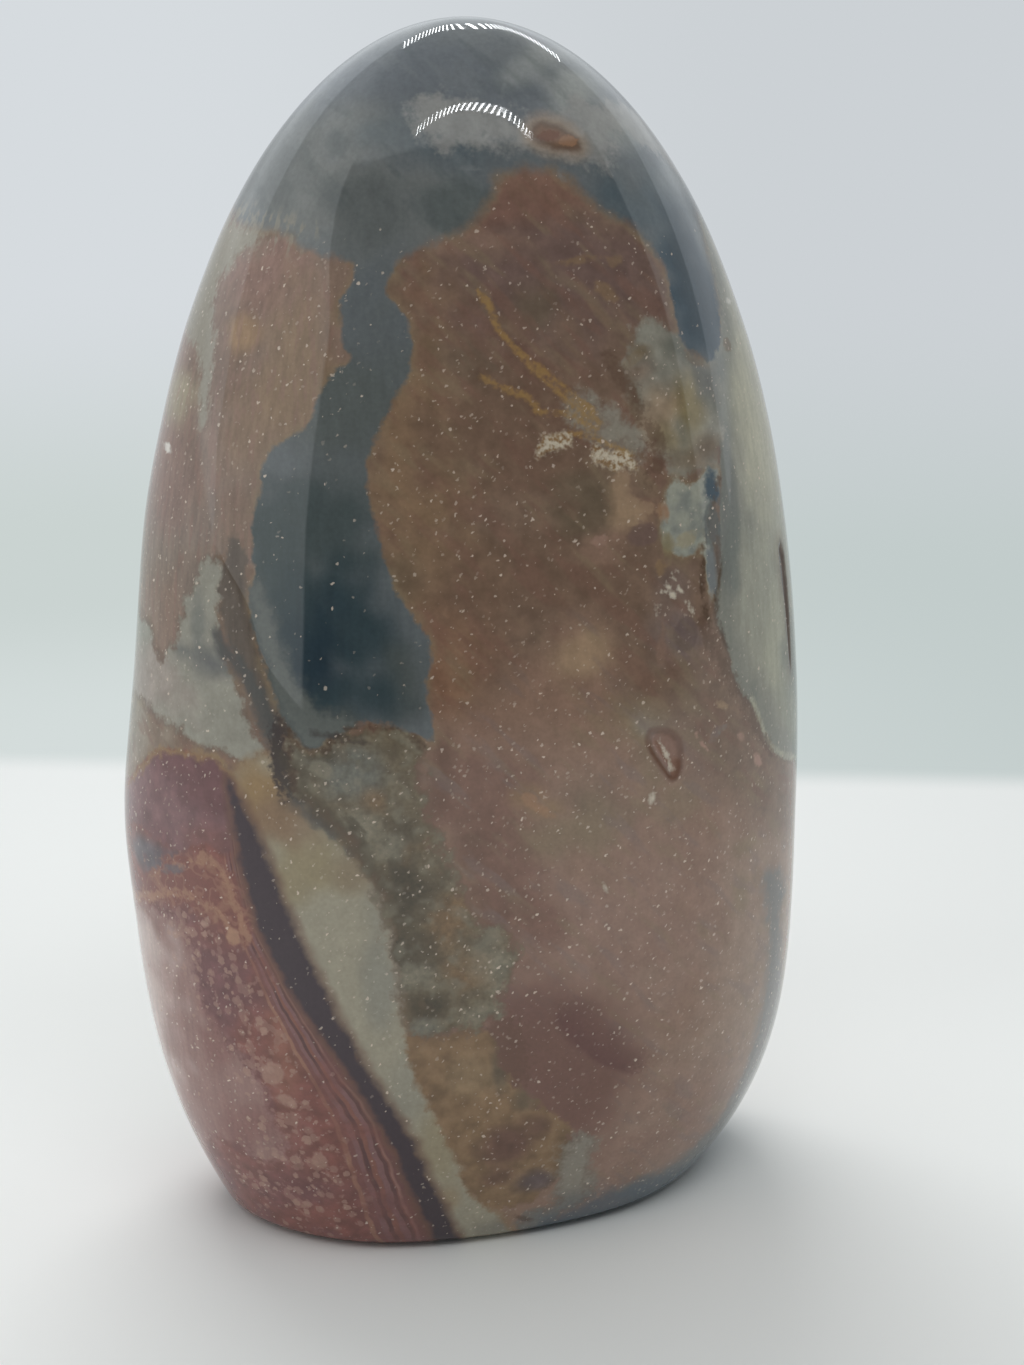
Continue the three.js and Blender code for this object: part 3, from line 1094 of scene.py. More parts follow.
GROUNDS["rosy"] = [
    ("rosy brown",),
    ("rose", (22, 36), (24, 14), 1.0),
    ("pale rose", (52, 28), (14, 22), 0.7),
    ("rose", (28, 12), (18, 8), 0.9),
    ("tan", (13.4, 67.8), (3.6, 2.4), 0.9),
    ("khaki", (22, 62), (3.6, 3.6), 0.8),
    ("khaki", (23, 57), (2.4, 5), 0.5),
    ("beige", (24.6, 60.6), (2.6, 2), 0.9),
    ("khaki", (28, 51.4), (4, 2.4), 0.5),
    ("brick", (-3, 53.6), (6.4, 5.6), 0.9),
    ("brick", (0, 45), (5, 7), 0.9),
    ("brick", (4, 39), (5, 4.6), 0.9),
    ("rust", (-8.6, 56), (1.6, 4), 0.8),
    ("rust", (-3, 41), (3, 4), 0.5),
    ("rust", (-4.6, 48), (2.4, 3), 0.6),
    ("rust", (38, 63), (2.4, 4), 0.5),
    ("olive", (14, 51), (4, 4), 0.4),
    ("ochre", (4.6, 53), (1.8, 1.3), 0.5),
    ("ochre", (8, 51.6), (2.2, 1.0), 0.6),
    ("khaki", (12, 49), (4.6, 3.4), 0.6),
    ("mauve", (29, 68.6), (3.2, 2.8), 1.0),
    ("mauve", (34, 58), (4, 6), 0.5),
    ("brick", (38, 64), (1.8, 7), 0.8),
    ("terracotta", (47.4, 53.6), (1.2, 0.9), 0.9),
    ("khaki", (43, 44.6), (1.8, 1.2), 0.6),
    ("khaki", (43, 38.6), (1.6, 1.6), 0.5),
    ("tan", (-6, 33), (3, 12), 0.3),
    ("pale rose", (100, 20), (16, 20), 0.9),
]
GROUNDS["slate"] = [
    ("slate",),
    ("cap green", (-54, 114), (19, 6.4), 1.0),
    ("cap green", (-38, 119), (8, 4), 0.8),
    ("cap blue", (-14, 124), (40, 5), 0.8),
    ("slate blue", (-20, 118), (8, 2.6), 0.6),
    ("dusk", (-71, 115.5), (8, 6), 0.9),
    ("cap pale", (45, 119), (4.4, 3), 0.9),
    ("cap pale", (36, 123), (4, 3), 0.9),
    ("cap pale", (28, 125.4), (5, 2.2), 0.6),
    ("dusk", (-25, 111), (4.6, 5), 0.9),
    ("slate blue", (43, 111), (9, 6), 1.0),
    ("deep blue", (48, 102.6), (6.6, 8.6), 1.0),
    ("deep navy", (51, 105), (4, 8), 0.7),
    ("river dark", (-6, 111.4), (4, 2), 0.6),
    ("frost", (62, 107), (1.6, 4), 0.6),
    ("frost", (76, 114.5), (6, 3), 0.7),
    ("river", (-24, 92), (7, 9), 1.0),
    ("slate", (-24, 99), (4, 3), 0.4),
    ("river dark", (-29, 81), (8, 6), 0.9),
    ("navy", (-24, 70.4), (6.6, 6.6), 1.0),
    ("deep navy", (-28, 69.4), (3.4, 5), 1.0),
    ("deep navy", (-25.4, 66), (2.6, 3), 0.8),
    ("river dark", (-35, 76), (4, 4), 1.0),
    ("navy", (-31, 72), (3.2, 5), 0.6),
    ("river grey", (-14, 65.4), (2.4, 4), 0.9),
    ("river grey", (-21, 60.6), (4, 1.0), 0.6),
    ("navy", (-20, 64.4), (4.4, 2.8), 0.9),
    ("navy", (150, 77), (5, 8), 0.9),
    ("deep navy", (157, 63), (3, 6), 0.7),
    ("river", (166, 92), (12, 4), 0.7),
    ("cap green", (-130, 106), (16, 7), 0.8),
    ("frost", (118, 110), (11, 6), 0.7),
]
print("grounds so far:", len(GROUNDS))

# %% Grounds of the left-hand side
GROUNDS["blush"] = [
    ("blush",),
    ("blush red", (-56, 104), (9, 3.2), 0.9),
    ("chocolate", (-60, 97), (6, 9), 0.9),
    ("blush red", (-44, 107), (3, 2), 0.8),
    ("ochre blush", (-35, 96), (3.6, 9), 0.9),
    ("ochre blush", (-44, 90), (4, 5), 0.5),
    ("apricot", (-52, 99), (2.6, 2.0), 1.0),
    ("grey pink", (-58, 79), (13, 7), 0.9),
    ("cocoa", (-42.6, 80), (3.4, 4), 0.8),
    ("blush red", (-72, 84), (8, 5), 0.5),
    ("pale yellow", (-79, 92.4), (6, 2.6), 0.8),
    ("umber", (-59, 88), (2.4, 3.6), 0.3),
]
GROUNDS["shell"] = [
    ("shell",),
    ("shell pink", (-78, 62.4), (9, 3.4), 0.9),
    ("smoke", (-48, 66.4), (4, 2), 1.0),
    ("smoke", (-57.6, 67), (1.8, 0.7), 0.7),
    ("river", (-53, 70), (1.2, 3), 0.5),
]
GROUNDS["cream"] = [
    ("cream",),
    ("cream yellow", (-29, 47), (5, 4), 1.0),
    ("khaki", (-20.6, 46), (2.4, 2.4), 0.8),
    ("ochre", (-36, 53.4), (5, 4), 1.0),
    ("ochre", (-32, 52.6), (2.2, 2.6), 0.8),
    ("ochre brown", (-31, 50.4), (3.4, 3), 0.9),
    ("umber", (-29.6, 53), (1.6, 1.4), 0.6),
    ("ochre", (-14.6, 7.4), (1.6, 2.4), 0.5),
    ("cream grey", (-18, 35), (1.6, 8), 0.8),
    ("cream grey", (-16, 22), (2, 4), 0.5),
    # Painted shade at the foot: a smoke-grey cloud at the cream's lower end.
    ("smoke", (-3, 2), (3.4, 2), 0.5),
    ("cream yellow", (-14, 13), (2.6, 5), 0.7),
    ("ochre", (-104, 49.6), (6, 2.6), 0.9),
    ("cream grey", (-140, 26), (3, 9), 0.8),
]
GROUNDS["moss"] = [
    ("moss",),
    ("moss grey", (-22, 57), (5.6, 3.2), 1.0),
    ("moss pale", (-20, 50.6), (2.4, 1.6), 0.7),
    ("moss dark", (-26, 58), (2.4, 1.4), 0.9),
    ("moss dark", (-14.6, 50), (1.4, 2.0), 0.6),
    ("moss dark", (-13.6, 44.4), (2.0, 4.4), 1.0),
    ("moss dark", (-15, 37), (1.7, 3.2), 1.0),
    ("moss dark", (-11, 30.6), (2.8, 1.6), 1.0),
    ("moss ochre", (-7.4, 40), (2, 4.4), 0.9),
    ("moss dark", (-10.4, 43.4), (1.6, 2.6), 0.7),
    ("moss dark", (-10.4, 36.4), (1.6, 2.4), 0.6),
    ("moss ochre", (-5, 34.4), (2.6, 2.4), 0.9),
    ("moss ochre", (-18, 53.4), (1.4, 1.2), 0.6),
    ("moss pale", (-7.6, 46.4), (1.6, 3), 0.15),
    ("moss pale", (-1, 35.4), (2.2, 3.6), 0.9),
    ("moss pale", (-12.6, 34.2), (2.2, 1.2), 0.8),
    ("moss pale", (-15.6, 48), (1.6, 1.6), 0.7),
    ("moss", (-5.6, 36.6), (1.6, 2.4), 0.6),
    ("moss dark", (-10.4, 55.4), (1.6, 2), 0.5),
    ("moss pale", (-4, 29.4), (3, 1.4), 0.7),
    ("moss grey", (-12, 28.4), (2, 1), 0.8),
    ("moss grey", (-140, 46), (5, 3), 0.9),
    ("moss dark", (-151, 38), (3, 6), 0.9),
    ("moss ochre", (-160, 32), (3, 5), 0.8),
    ("moss dark", (-156, 18), (3, 6), 0.8),
    ("moss pale", (-162, 8), (3, 6), 0.8),
]
GROUNDS["honey"] = [
    ("honey",),
    ("honey light", (-6, 22), (3, 2.4), 0.7),
    ("rust", (-1, 13.6), (3.4, 2.2), 1.0),
    ("rust", (4, 15.6), (1.8, 1.4), 0.8),
    ("rust", (-4, 9.4), (1.8, 1.2), 0.7),
    ("purple grey", (2.4, 8.2), (2.6, 1.6), 1.0),
    ("olive", (-1.6, 23), (0.9, 2.8), 0.9),
    ("olive", (2.6, 19.4), (1.4, 1.2), 0.7),
    ("rust", (-174, 12), (3, 4), 0.9),
    ("honey light", (-170, 21), (3, 3), 0.7),
]
GROUNDS["red"] = [
    ("red",),
    ("maroon", (-48, 32), (5.6, 6.4), 1.0),
    ("maroon", (-57, 38.6), (6, 1.6), 0.8),
    ("violet grey", (-64, 43.4), (6, 2.4), 1.0),
    ("orange red", (-35, 26), (2.0, 11), 0.7),
    ("dusty red", (-40, 15), (3, 4), 0.7),
    ("dusty red", (-60, 7), (11, 3.6), 0.8),
    ("maroon", (-50, 7), (5, 2.2), 0.6),
    ("orange red", (-46, 42), (6, 2.4), 0.6),
    ("plum light", (-47, 43.6), (3, 1.6), 0.7),
    ("maroon", (-78, 5), (4, 5), 0.5),
    ("maroon", (-28, 6), (3, 6), 0.4),
]
GROUNDS["flesh"] = [
    ("flesh",),
    ("dusty red", (-51, 26), (3, 6), 0.6),
    ("dusty red", (-58, 36), (6, 2), 0.5),
    ("far flesh", (-84, 23), (7, 13), 1.0),
    ("dusty red", (-60, 14), (6, 4), 0.4),
    ("dusty red", (-50, 15), (4, 3), 0.5),
]
GROUNDS["plum"] = [
    ("plum",),
    ("plum light", (-60, 49), (8, 3), 0.9),
    ("plum light", (-76, 52), (9, 4), 1.0),
    ("dusty red", (-47, 47.6), (3.4, 1.8), 0.7),
]
print("grounds so far:", len(GROUNDS))

# %% Grounds of the right-hand side
GROUNDS["side"] = [
    ("side",),
    ("side grey", (42, 82), (2.4, 10), 1.0),
    ("side grey", (45.6, 60.6), (1.6, 2.4), 0.5),
    ("side grey", (50, 80), (1.6, 4), 0.5),
    ("side grey", (47.4, 95.2), (2.4, 1.6), 0.9),
    ("side light", (61, 88), (5, 11), 0.9),
    ("side light", (60, 66), (4, 6), 0.5),
    ("side grey", (69.5, 63), (3, 6), 1.0),
    ("side light", (78, 92), (8, 14), 0.7),
    ("side grey", (100, 80), (5, 14), 0.6),
    ("beige", (116, 74), (6, 16), 0.6),
]
GROUNDS["lichen"] = [
    ("lichen",),
    ("lichen yellow", (36.4, 91), (2.6, 3.4), 1.0),
    ("lichen brown", (39, 87.6), (2.6, 1.8), 0.9),
    ("tan", (27.6, 90.6), (2.6, 3.6), 0.7),
    ("lichen brown", (24, 92.4), (1.0, 3), 0.8),
    ("cocoa", (25.4, 95.6), (2.4, 1.6), 0.9),
    ("lichen grey", (38, 98), (3, 1.8), 0.9),
    ("lichen grey", (44, 93), (2.4, 3.6), 0.8),
    ("lichen brown", (27, 97.4), (1.6, 1.0), 0.9),
    ("lichen yellow", (29.6, 89), (1.4, 1.6), 0.6),
    ("lichen brown", (33, 86.4), (3, 1.0), 0.6),
    ("smoke", (42, 94.6), (1.6, 2.4), 0.6),
]
print("grounds in all:", len(GROUNDS))

# %% [markdown]
# Smaller marks are drawn as dabs: ovals with a crisp, ragged edge. Each has a tint, its
# middle, its half sizes across and up in millimetres, its lean in degrees, and how
# strongly it covers what is under it.

# %% Dabs
DABS = [
    ("ochre", (18, 106.2), (1.9, 0.45), 0, 0.45),
    ("ochre", (22.6, 103.2), (1.6, 0.7), 40, 0.45),
    ("ochre", (25.4, 106), (0.9, 0.6), 0, 0.35),
    ("khaki", (25.8, 96.8), (1.5, 0.7), -30, 0.5),
    ("lichen brown", (40, 96.4), (1.5, 0.8), 20, 0.5),
    ("lichen brown", (55, 97.2), (0.9, 0.7), 0, 0.7),
    ("white", (67, 101.5), (0.9, 0.25), 0, 0.6),
    ("tan", (21.4, 82.2), (1.5, 1.1), -20, 0.75),
    ("tan", (20.6, 84.8), (0.9, 1.5), 10, 0.45),
    ("tan", (24.2, 82.2), (1.2, 0.6), 30, 0.6),
    ("plum brown", (23.4, 79.4), (1.7, 1.2), 0, 0.8),
    ("petal", (16.4, 79), (0.9, 0.6), -20, 0.5),
    ("rosy brown", (17.8, 77.4), (1.0, 0.8), 10, 0.5),
    ("terracotta", (27.4, 81.6), (0.45, 1.0), 0, 0.8),
    ("lichen yellow", (27.4, 78.2), (0.5, 1.5), -8, 0.8),
    ("pale yellow", (31, 78.6), (1.6, 0.8), -15, 0.7),
    ("slate", (36.2, 75), (0.8, 2.6), -3, 0.9),
    ("seam", (37.8, 76.4), (0.5, 3.4), 0, 0.7),
    ("river grey", (37.2, 79.6), (1.1, 2.6), 0, 0.8),
    ("seam", (1.8, 2.6), (1.4, 0.4), 35, 0.6),
    ("night brown", (-23, 59.8), (2.6, 0.5), 8, 0.6),
    ("ochre", (26, 75.8), (0.6, 1.0), 0, 0.5),
    ("purple grey", (29.6, 69), (1.5, 1.8), 0, 0.45),
    ("rosy brown", (25.4, 68.4), (0.5, 2.4), 6, 0.5),
    ("khaki", (24, 61.6), (1.9, 1.1), 30, 0.35),
    ("tan", (36.8, 60.9), (0.85, 0.45), 15, 1.0),
    ("mauve", (35.2, 58), (0.5, 1.1), 40, 0.6),
    ("frost", (36.8, 58.4), (0.5, 0.35), 0, 0.6),
    ("petal", (47.4, 53.8), (1.2, 0.5), 38, 0.9),
    ("petal", (41.8, 57), (0.7, 0.3), 30, 0.7),
    ("terracotta", (4.8, 52.8), (0.9, 0.6), 30, 0.7),
    ("terracotta", (7.2, 51.4), (1.1, 0.5), 40, 0.7),
    ("crystal", (23.4, 52), (0.3, 0.6), 15, 0.8),
    ("crystal", (16.6, 42.4), (0.25, 0.5), -30, 0.9),
    ("frost", (10, 123.2), (0.2, 0.8), 20, 0.35),
    ("frost", (-3.6, 115), (0.9, 0.2), 0, 0.45),
    ("frost", (18.6, 114.2), (0.2, 0.6), -30, 0.4),
    # A painted highlight: a small white glint on the upper left.
    ("white", (-75.4, 87), (1.2, 0.45), 0, 0.9),
    ("petal", (-39.6, 22.6), (1.5, 1.3), 20, 0.6),
    ("petal", (-42.6, 26), (1.0, 0.5), -40, 0.7),
    ("petal", (-38, 19.6), (1.3, 0.6), 20, 0.6),
    ("petal", (-36.6, 12.4), (0.9, 1.3), -20, 0.6),
    ("petal", (-48.6, 38.4), (0.8, 0.5), -20, 0.7),
    ("web tan", (-41.6, 37.6), (1.0, 1.0), -20, 0.8),
    ("violet grey", (-57.4, 43.4), (2.2, 0.6), -14, 0.8),
    ("moss dark", (-21, 51), (2.0, 0.5), 42, 0.7),
    ("moss pale", (-25.6, 56.6), (1.4, 0.9), 20, 0.6),
    ("frost", (150, 100), (4, 1.2), 25, 0.5),
    ("lichen yellow", (120, 66), (2.2, 4), -10, 0.5),
]
print("dabs drawn:", len(DABS))

# %% [markdown]
# The clouds and dabs need the two ways that run along the skin from a spot: across,
# round the stone, and up, towards its top.

# %% Lay the clouds on the points
# The grain of each noise in millimetres, and how far it shifts the edge of a cloud.
WANDER_GRAINS = {6.0: 0.55, 2.4: 0.4}
# How many times its reach a cloud goes on, and over how many of them it fades.
CLOUD_EDGE = 1.45
CLOUD_BLUR = 1.1


def wander_of(places):
    """A wavy number for every point, which makes the edges of clouds ragged."""
    wander = np.zeros(len(places))
    for grain, size in WANDER_GRAINS.items():
        wander += [size * perlin.noise(Vector(place) / grain) for place in places]
    return wander


def skin_ways(angle, height):
    """The unit steps across and up along the skin."""
    across = skin.place(angle + 1, height) - skin.place(angle - 1, height)
    up = skin.place(angle, height + 0.5) - skin.place(angle, height - 0.5)
    return across / np.linalg.norm(across), up / np.linalg.norm(up)


def cloud_share(places, wander, middle, reach):
    """1 in the middle of a cloud and 0 outside it."""
    across, up = skin_ways(*middle)
    offset = places - skin.place(*middle)
    sideways, upward = offset @ across / reach[0], offset @ up / reach[1]
    through = offset @ np.cross(across, up) / sum(reach)
    gap = np.sqrt(sideways**2 + upward**2 + through**2) + wander
    return eased((CLOUD_EDGE - gap) / CLOUD_BLUR)


def store_colour(mesh, name, colour):
    layer = mesh.attributes.new(name, "FLOAT_COLOR", "POINT")
    layer.data.foreach_set("color", colour.astype(np.float32).ravel())


def lay_grounds(mesh):
    places = read_places(mesh)
    wander = wander_of(places)
    for name, (base, *clouds) in GROUNDS.items():
        colour = np.tile(np.array(TINTS[base[0]]), (len(places), 1))
        for tint, middle, reach, strength in clouds:
            share = strength * cloud_share(places, wander, middle, reach)[:, None]
            colour = colour * (1 - share) + np.array(TINTS[tint]) * share
        store_colour(mesh, "ground " + name, colour)


lay_grounds(stone.data)
print("grounds laid:", list(GROUNDS))


# %% Lay the dabs on the points
def dab_depths(places, middle, reach, lean):
    """How deep each place lies inside an oval on the skin, in millimetres."""
    across, up = skin_ways(*middle)
    lean = np.radians(lean)
    first = across * np.cos(lean) - up * np.sin(lean)
    second = across * np.sin(lean) + up * np.cos(lean)
    offset = places - skin.place(*middle)
    through = offset @ np.cross(across, up) / FAR
    gap = np.sqrt((offset @ first / reach[0]) ** 2 + (offset @ second / reach[1]) ** 2 + through**2)
    return (1 - gap) * min(reach)


def lay_dabs(mesh):
    places = read_places(mesh)
    depth = np.full(len(places), -FAR)
    colour = np.zeros((len(places), 4))
    for tint, middle, reach, lean, strength in DABS:
        here = dab_depths(places, middle, reach, lean)
        nearer = here > depth
        depth[nearer] = here[nearer]
        colour[nearer] = (*TINTS[tint][:3], strength)
    store(mesh, "dabs", depth)
    store_colour(mesh, "dab colour", colour)


lay_dabs(stone.data)
print("dabs laid:", len(DABS))

# %% [markdown]
# ## The polished finish
#
# Four noises are shared by the whole finish: coarse, middling, fine, and one that is
# drawn out upwards like the streaks that water leaves. A patch's border is its stored
# distance pushed to and fro by them, which frays it as natural borders are. The
# patches are then laid over each other in the order in which they cover one another.

# %% Build the finish
MOTTLE = {
    "coarse": {"Scale": 1 / 5.0, "Detail": 2.0},
    "middling": {"Scale": 1 / 1.7, "Detail": 1.2},
    "fine": {"Scale": 1 / 0.42, "Detail": 1.0},
}
STREAK_SQUASH = Vector((1.3, 1.3, 0.2))
# A noise runs about a quarter to each side of 0, so these turn it into millimetres.
FRAY_SWING = 4
FINE_FRAY_SWING = 1.6
LINE_SWING = 2
FINE_LINE_SWING = 1.4
# Where a spot begins to fade and where it ends, as shares of its radii.
SPOT_FADE = (0.6, 1.1)


class Finish:
    """The jasper's finish, laid down patch by patch."""

    def __init__(self, material):
        material.use_nodes = True
        self.net = Net(material.node_tree)
        here = self.net.node("ShaderNodeTexCoord", output="Object")
        self.place = self.net.scaled(here, 1 / MM)
        self.noises = {name: self.three_noises(self.place, look) for name, look in MOTTLE.items()}
        streaked = self.net.vector_math("MULTIPLY", self.place, STREAK_SQUASH)
        self.noises["streak"] = self.three_noises(streaked, {"Scale": 1.0, "Detail": 2.0})
        shift = self.net.join(*(part * 0.5 for part in self.noises["fine"]))
        self.wavy = self.net.vector_math("ADD", self.place, shift)
        self.colour = self.ground("body")

    def three_noises(self, place, look):
        """Three noises that don't follow each other, each about 0."""
        made = self.net.node("ShaderNodeTexNoise", None, {"Vector": place} | look, "Color")
        return [part - 0.5 for part in self.net.split(made)]

    def grains(self, place, gap):
        """How far the nearest of many scattered points is, and three chance numbers of it."""
        cells = self.net.node("ShaderNodeTexVoronoi", None, {"Vector": place, "Scale": 1 / gap})
        chances = self.net.split(Wire(self.net, cells.socket.node.outputs["Color"]))
        return cells * gap, *chances

    def distance(self, name):
        return self.net.node("ShaderNodeAttribute", {"attribute_name": name}, output="Fac")

    def ground(self, name):
        settings = {"attribute_name": "ground " + name}
        return self.net.node("ShaderNodeAttribute", settings, output="Color")

    def mottled(self, name, light, grain="middling", channel=0):
        """A ground whose lightness goes up and down with a shared noise."""
        return self.net.scaled(self.ground(name), 1 + self.noises[grain][channel] * (light * 2))

    def border(self, name, fray, blur, channel=0, out=0.0, grain="middling"):
        """1 inside a patch and 0 outside. Fray, blur and out are in millimetres."""
        depth = self.distance(name) + out
        depth = depth + self.noises[grain][channel] * (fray * FRAY_SWING)
        depth = depth + self.noises["fine"][(channel + 1) % 3] * (fray * FINE_FRAY_SWING)
        return depth.step(-blur, blur)

    def line(self, name, width, blur, channel=0, wander=1.0):
        """1 on a line and 0 away from it. The line swells and thins along its way."""
        gap = self.distance(name)
        gap = gap + self.noises["middling"][channel] * (width * wander * LINE_SWING)
        gap = gap + self.noises["fine"][channel] * (width * FINE_LINE_SWING)
        return 1 - gap.step(width / 2 - blur, width / 2 + blur)

    def trace(self, name, tint, strength, **stroke):
        """Draws a line. Its stroke is as line says."""
        self.lay(self.line(name, **stroke) * strength, tint)

    def blotches(self, grain, channel, low, high):
        """1 where a shared noise is above high, 0 where it is under low."""
        return self.noises[grain][channel].step(low, high)

    def lay(self, share, tint):
        """Covers the colour so far with a tint, or with another wire."""
        tint = TINTS[tint] if isinstance(tint, str) else tint
        self.colour = self.net.mix(share, self.colour, tint)

    def cover(self, patch, tint, strength=1, **edge):
        """Covers a whole patch. Its edge is frayed and blurred as border says."""
        share = self.border(patch, **edge)
        self.lay(share if strength == 1 else share * strength, tint)

    def spot(self, angle, height, radii, ragged=0.5):
        """A small round spot on the skin: 1 in its middle, 0 past its radii in mm."""
        centre = Vector(skin.place(angle, height))
        offset = self.net.vector_math("SUBTRACT", self.place, centre)
        shrunk = self.net.vector_math("DIVIDE", offset, Vector(radii))
        measured = {"operation": "LENGTH"}
        length = self.net.node("ShaderNodeVectorMath", measured, {0: shrunk}, "Value")
        return 1 - (length + self.noises["fine"][0] * ragged * 2).step(*SPOT_FADE)


finish = Finish(jasper)
net = finish.net
print("shared noises:", list(finish.noises))

# %% [markdown]
# The body has faint wisps that lean from the upper left to the lower right. They come
# from noise that is drawn out along that slope. Low on the right the body turns rosy,
# with a wine-coloured cloud and a darker arc in it.

# %% The body
WISP_SQUASH = (0.1, 0.25, 0.42)
WISPS = [(0.5, 0.66, 0.45, "brick"), (0.54, 0.7, 0.4, "khaki"), (0.56, 0.72, 0.4, "chocolate")]

x, y, z = net.split(finish.place)
along_slope, through_slope, across_slope = WISP_SQUASH
drift_place = net.join((x - z) * along_slope, y * through_slope, (x + z) * across_slope)
wisp_values = {"Vector": drift_place, "Scale": 1.0, "Detail": 2.0}
wisps = net.split(net.node("ShaderNodeTexNoise", None, wisp_values, "Color"))
finish.colour = finish.mottled("body", 0.3)
for wisp, (low, high, strength, tint) in zip(wisps, WISPS):
    finish.lay(wisp.step(low, high) * strength, tint)
rosy = finish.mottled("rosy", 0.2, channel=1)
rosy = net.mix(wisps[1].step(0.52, 0.72) * 0.35, rosy, TINTS["khaki"])
rosy = net.mix(wisps[2].step(0.55, 0.7) * 0.4, rosy, TINTS["mauve"])
finish.cover("rosy", rosy, fray=0.7, blur=2.4, grain="coarse")
finish.cover("wine", "wine", 0.8, fray=1.2, blur=3.4, channel=1, out=-1.6, grain="coarse")
arc_depth = finish.distance("wine arc") + finish.noises["middling"][2] * 0.8
arc = arc_depth.step(-0.3, 0.7) * arc_depth.step(5.5, 0.2)
finish.lay(arc * finish.spot(14.6, 25, (8, 9, 6.6), ragged=0.2) * 0.8, "deep wine")
finish.lay(finish.spot(-1, 24, (3.4, 8, 6)) * 0.7, "rust")
finish.cover("frost", "frost grey", 0.8, fray=0.7, blur=1.6, channel=1)
print("body laid")

# %% [markdown]
# The upper left is blush jasper with upright wisps, crossed by a pale mint streak, and
# below it lie a shell-coloured lobe and a dark umber strand. A patch with a darker rim
# is laid twice: first a little larger in the rim's tint, then in its own.

# %% The upper left
finish.cover("blush", finish.mottled("blush", 0.3, "streak"), fray=0.6, blur=0.35)
blush_wisps = finish.border("blush", fray=0.4, blur=0.5) * finish.blotches("streak", 1, 0.0, 0.16)
finish.lay(blush_wisps * 0.4, "blush red")
finish.cover("mint streak", "mint", 0.9, fray=0.8, blur=0.7, channel=1, grain="streak")
finish.cover("lilac", "umber", 0.4, fray=0.6, blur=0.6, channel=2, out=0.6)
finish.cover("lilac", finish.mottled("shell", 0.2), fray=0.7, blur=0.5, channel=2)
umber = net.scaled(TINTS["umber"][:3], 1 + finish.noises["streak"][2] * 0.7)
finish.cover("umber", umber, fray=0.5, blur=0.4)
print("upper left laid")

# %% [markdown]
# Between the river and the foot the stone is mossy, with dark, pale and ochre blotches
# that the shared noises pick out. A cream band runs down beside it to the foot, where
# honey, pearl and blue patches meet.

# %% The mottled middle and the foot
MOSS_BLOTCHES = [
    ("middling", 0, -0.06, 0.2, 0.4, "moss dark"),
    ("middling", 1, -0.02, 0.22, 0.45, "moss pale"),
    ("coarse", 2, 0.0, 0.2, 0.4, "moss ochre"),
]

finish.cover("cream", "ochre", 0.6, fray=0.3, blur=0.6, out=0.5)
finish.cover("cream", finish.mottled("cream", 0.1), fray=0.4, blur=0.6)
finish.cover("ash strand", "ash", 0.9, fray=0.5, blur=0.7, channel=1)
finish.lay(finish.spot(-31.8, 58, (1.7, 2, 5)) * 0.9, "night brown")
finish.cover("honey", finish.mottled("honey", 0.5, channel=1), fray=0.6, blur=0.5, channel=2)
finish.cover("moss", "rust", 0.5, fray=0.8, blur=0.5, channel=1, out=0.5)
moss = finish.mottled("moss", 0.3, "fine")
for grain, channel, low, high, strength, tint in MOSS_BLOTCHES:
    moss = net.mix(finish.blotches(grain, channel, low, high) * strength, moss, TINTS[tint])
finish.cover("moss", moss, fray=1.1, blur=0.8, channel=1)
cream_gap = net.math("ABSOLUTE", finish.distance("cream") + 0.7 + finish.noises["middling"][0] * 3)
moss_rim = (1 - cream_gap.step(0.3, 1.9)) * finish.border("moss", fray=0.3, blur=1.0, out=1.2)
finish.lay(moss_rim * z.step(38, 46) * 0.6, "moss dark")
finish.cover("pearl foot", "umber", 0.6, fray=0.7, blur=0.6, channel=1, out=0.3)
foot_tint = net.mix(z.step(7, 4), TINTS["pearl"], TINTS["cap green"])
finish.cover("pearl foot", foot_tint, 0.75, fray=1.0, blur=1.3, channel=1)
finish.cover("blue foot", "foot blue", 0.85, fray=0.7, blur=1.8)
# Painted shade: the blue foot is darker in its lowest 2.4 mm, where the rounded edge turns to the
# floor.
finish.lay(z.step(2.4, 0.4) * finish.border("blue foot", fray=0.3, blur=0.8) * 0.6, "deep blue")
print("middle and foot laid")

# %% [markdown]
# The red foot is full of pale pink flecks that crowd together along a trail. They are
# the nearest of many scattered points, each with a size and a strength of its own.

# %% The red foot
FLECK_GAP = 1.25
FLECK_SMALLEST = 0.2
FLECK_GROWTH = 0.42
TRAIL_REACH = 9

finish.cover("red", finish.mottled("red", 0.5, channel=1), fray=0.3, blur=0.3, channel=2)
in_red = finish.border("red", fray=0.2, blur=0.2)
finish.lay(in_red * finish.blotches("coarse", 1, 0.02, 0.12) * 0.6, "maroon")
finish.cover("flesh", finish.mottled("flesh", 0.2, "streak"), fray=0.8, blur=1.0, channel=1)
deep_in_red = finish.border("red", fray=0.2, blur=0.2, out=-0.4)
trail = finish.distance("petal trail").step(0, TRAIL_REACH)
petals = finish.noises["middling"][2] + finish.noises["fine"][0] * 0.2 - trail * 0.16
finish.lay(petals.step(0.06, 0.12) * deep_in_red * 0.3, "petal")
gap, kind, size, light = finish.grains(finish.wavy, FLECK_GAP)
radius = FLECK_SMALLEST + FLECK_GROWTH * size * (1.2 - trail)
flecks = 1 - (gap / radius).step(0.75, 1.15)
flecks = flecks * (1.05 - trail * 0.7 - kind).step(-0.02, 0.02) * (0.3 + 0.4 * light)
finish.lay(flecks * deep_in_red, "petal")
print("red foot laid")

# %% [markdown]
# Beside the dark seam the red jasper is banded: thin lines of tan, red and brown that
# run along the seam and draw together towards its top. The distance from the seam,
# stretched more and more with the height, numbers the lanes of these bands.

# %% Bands beside the dark seam
LANE_STRETCH = 0.0011
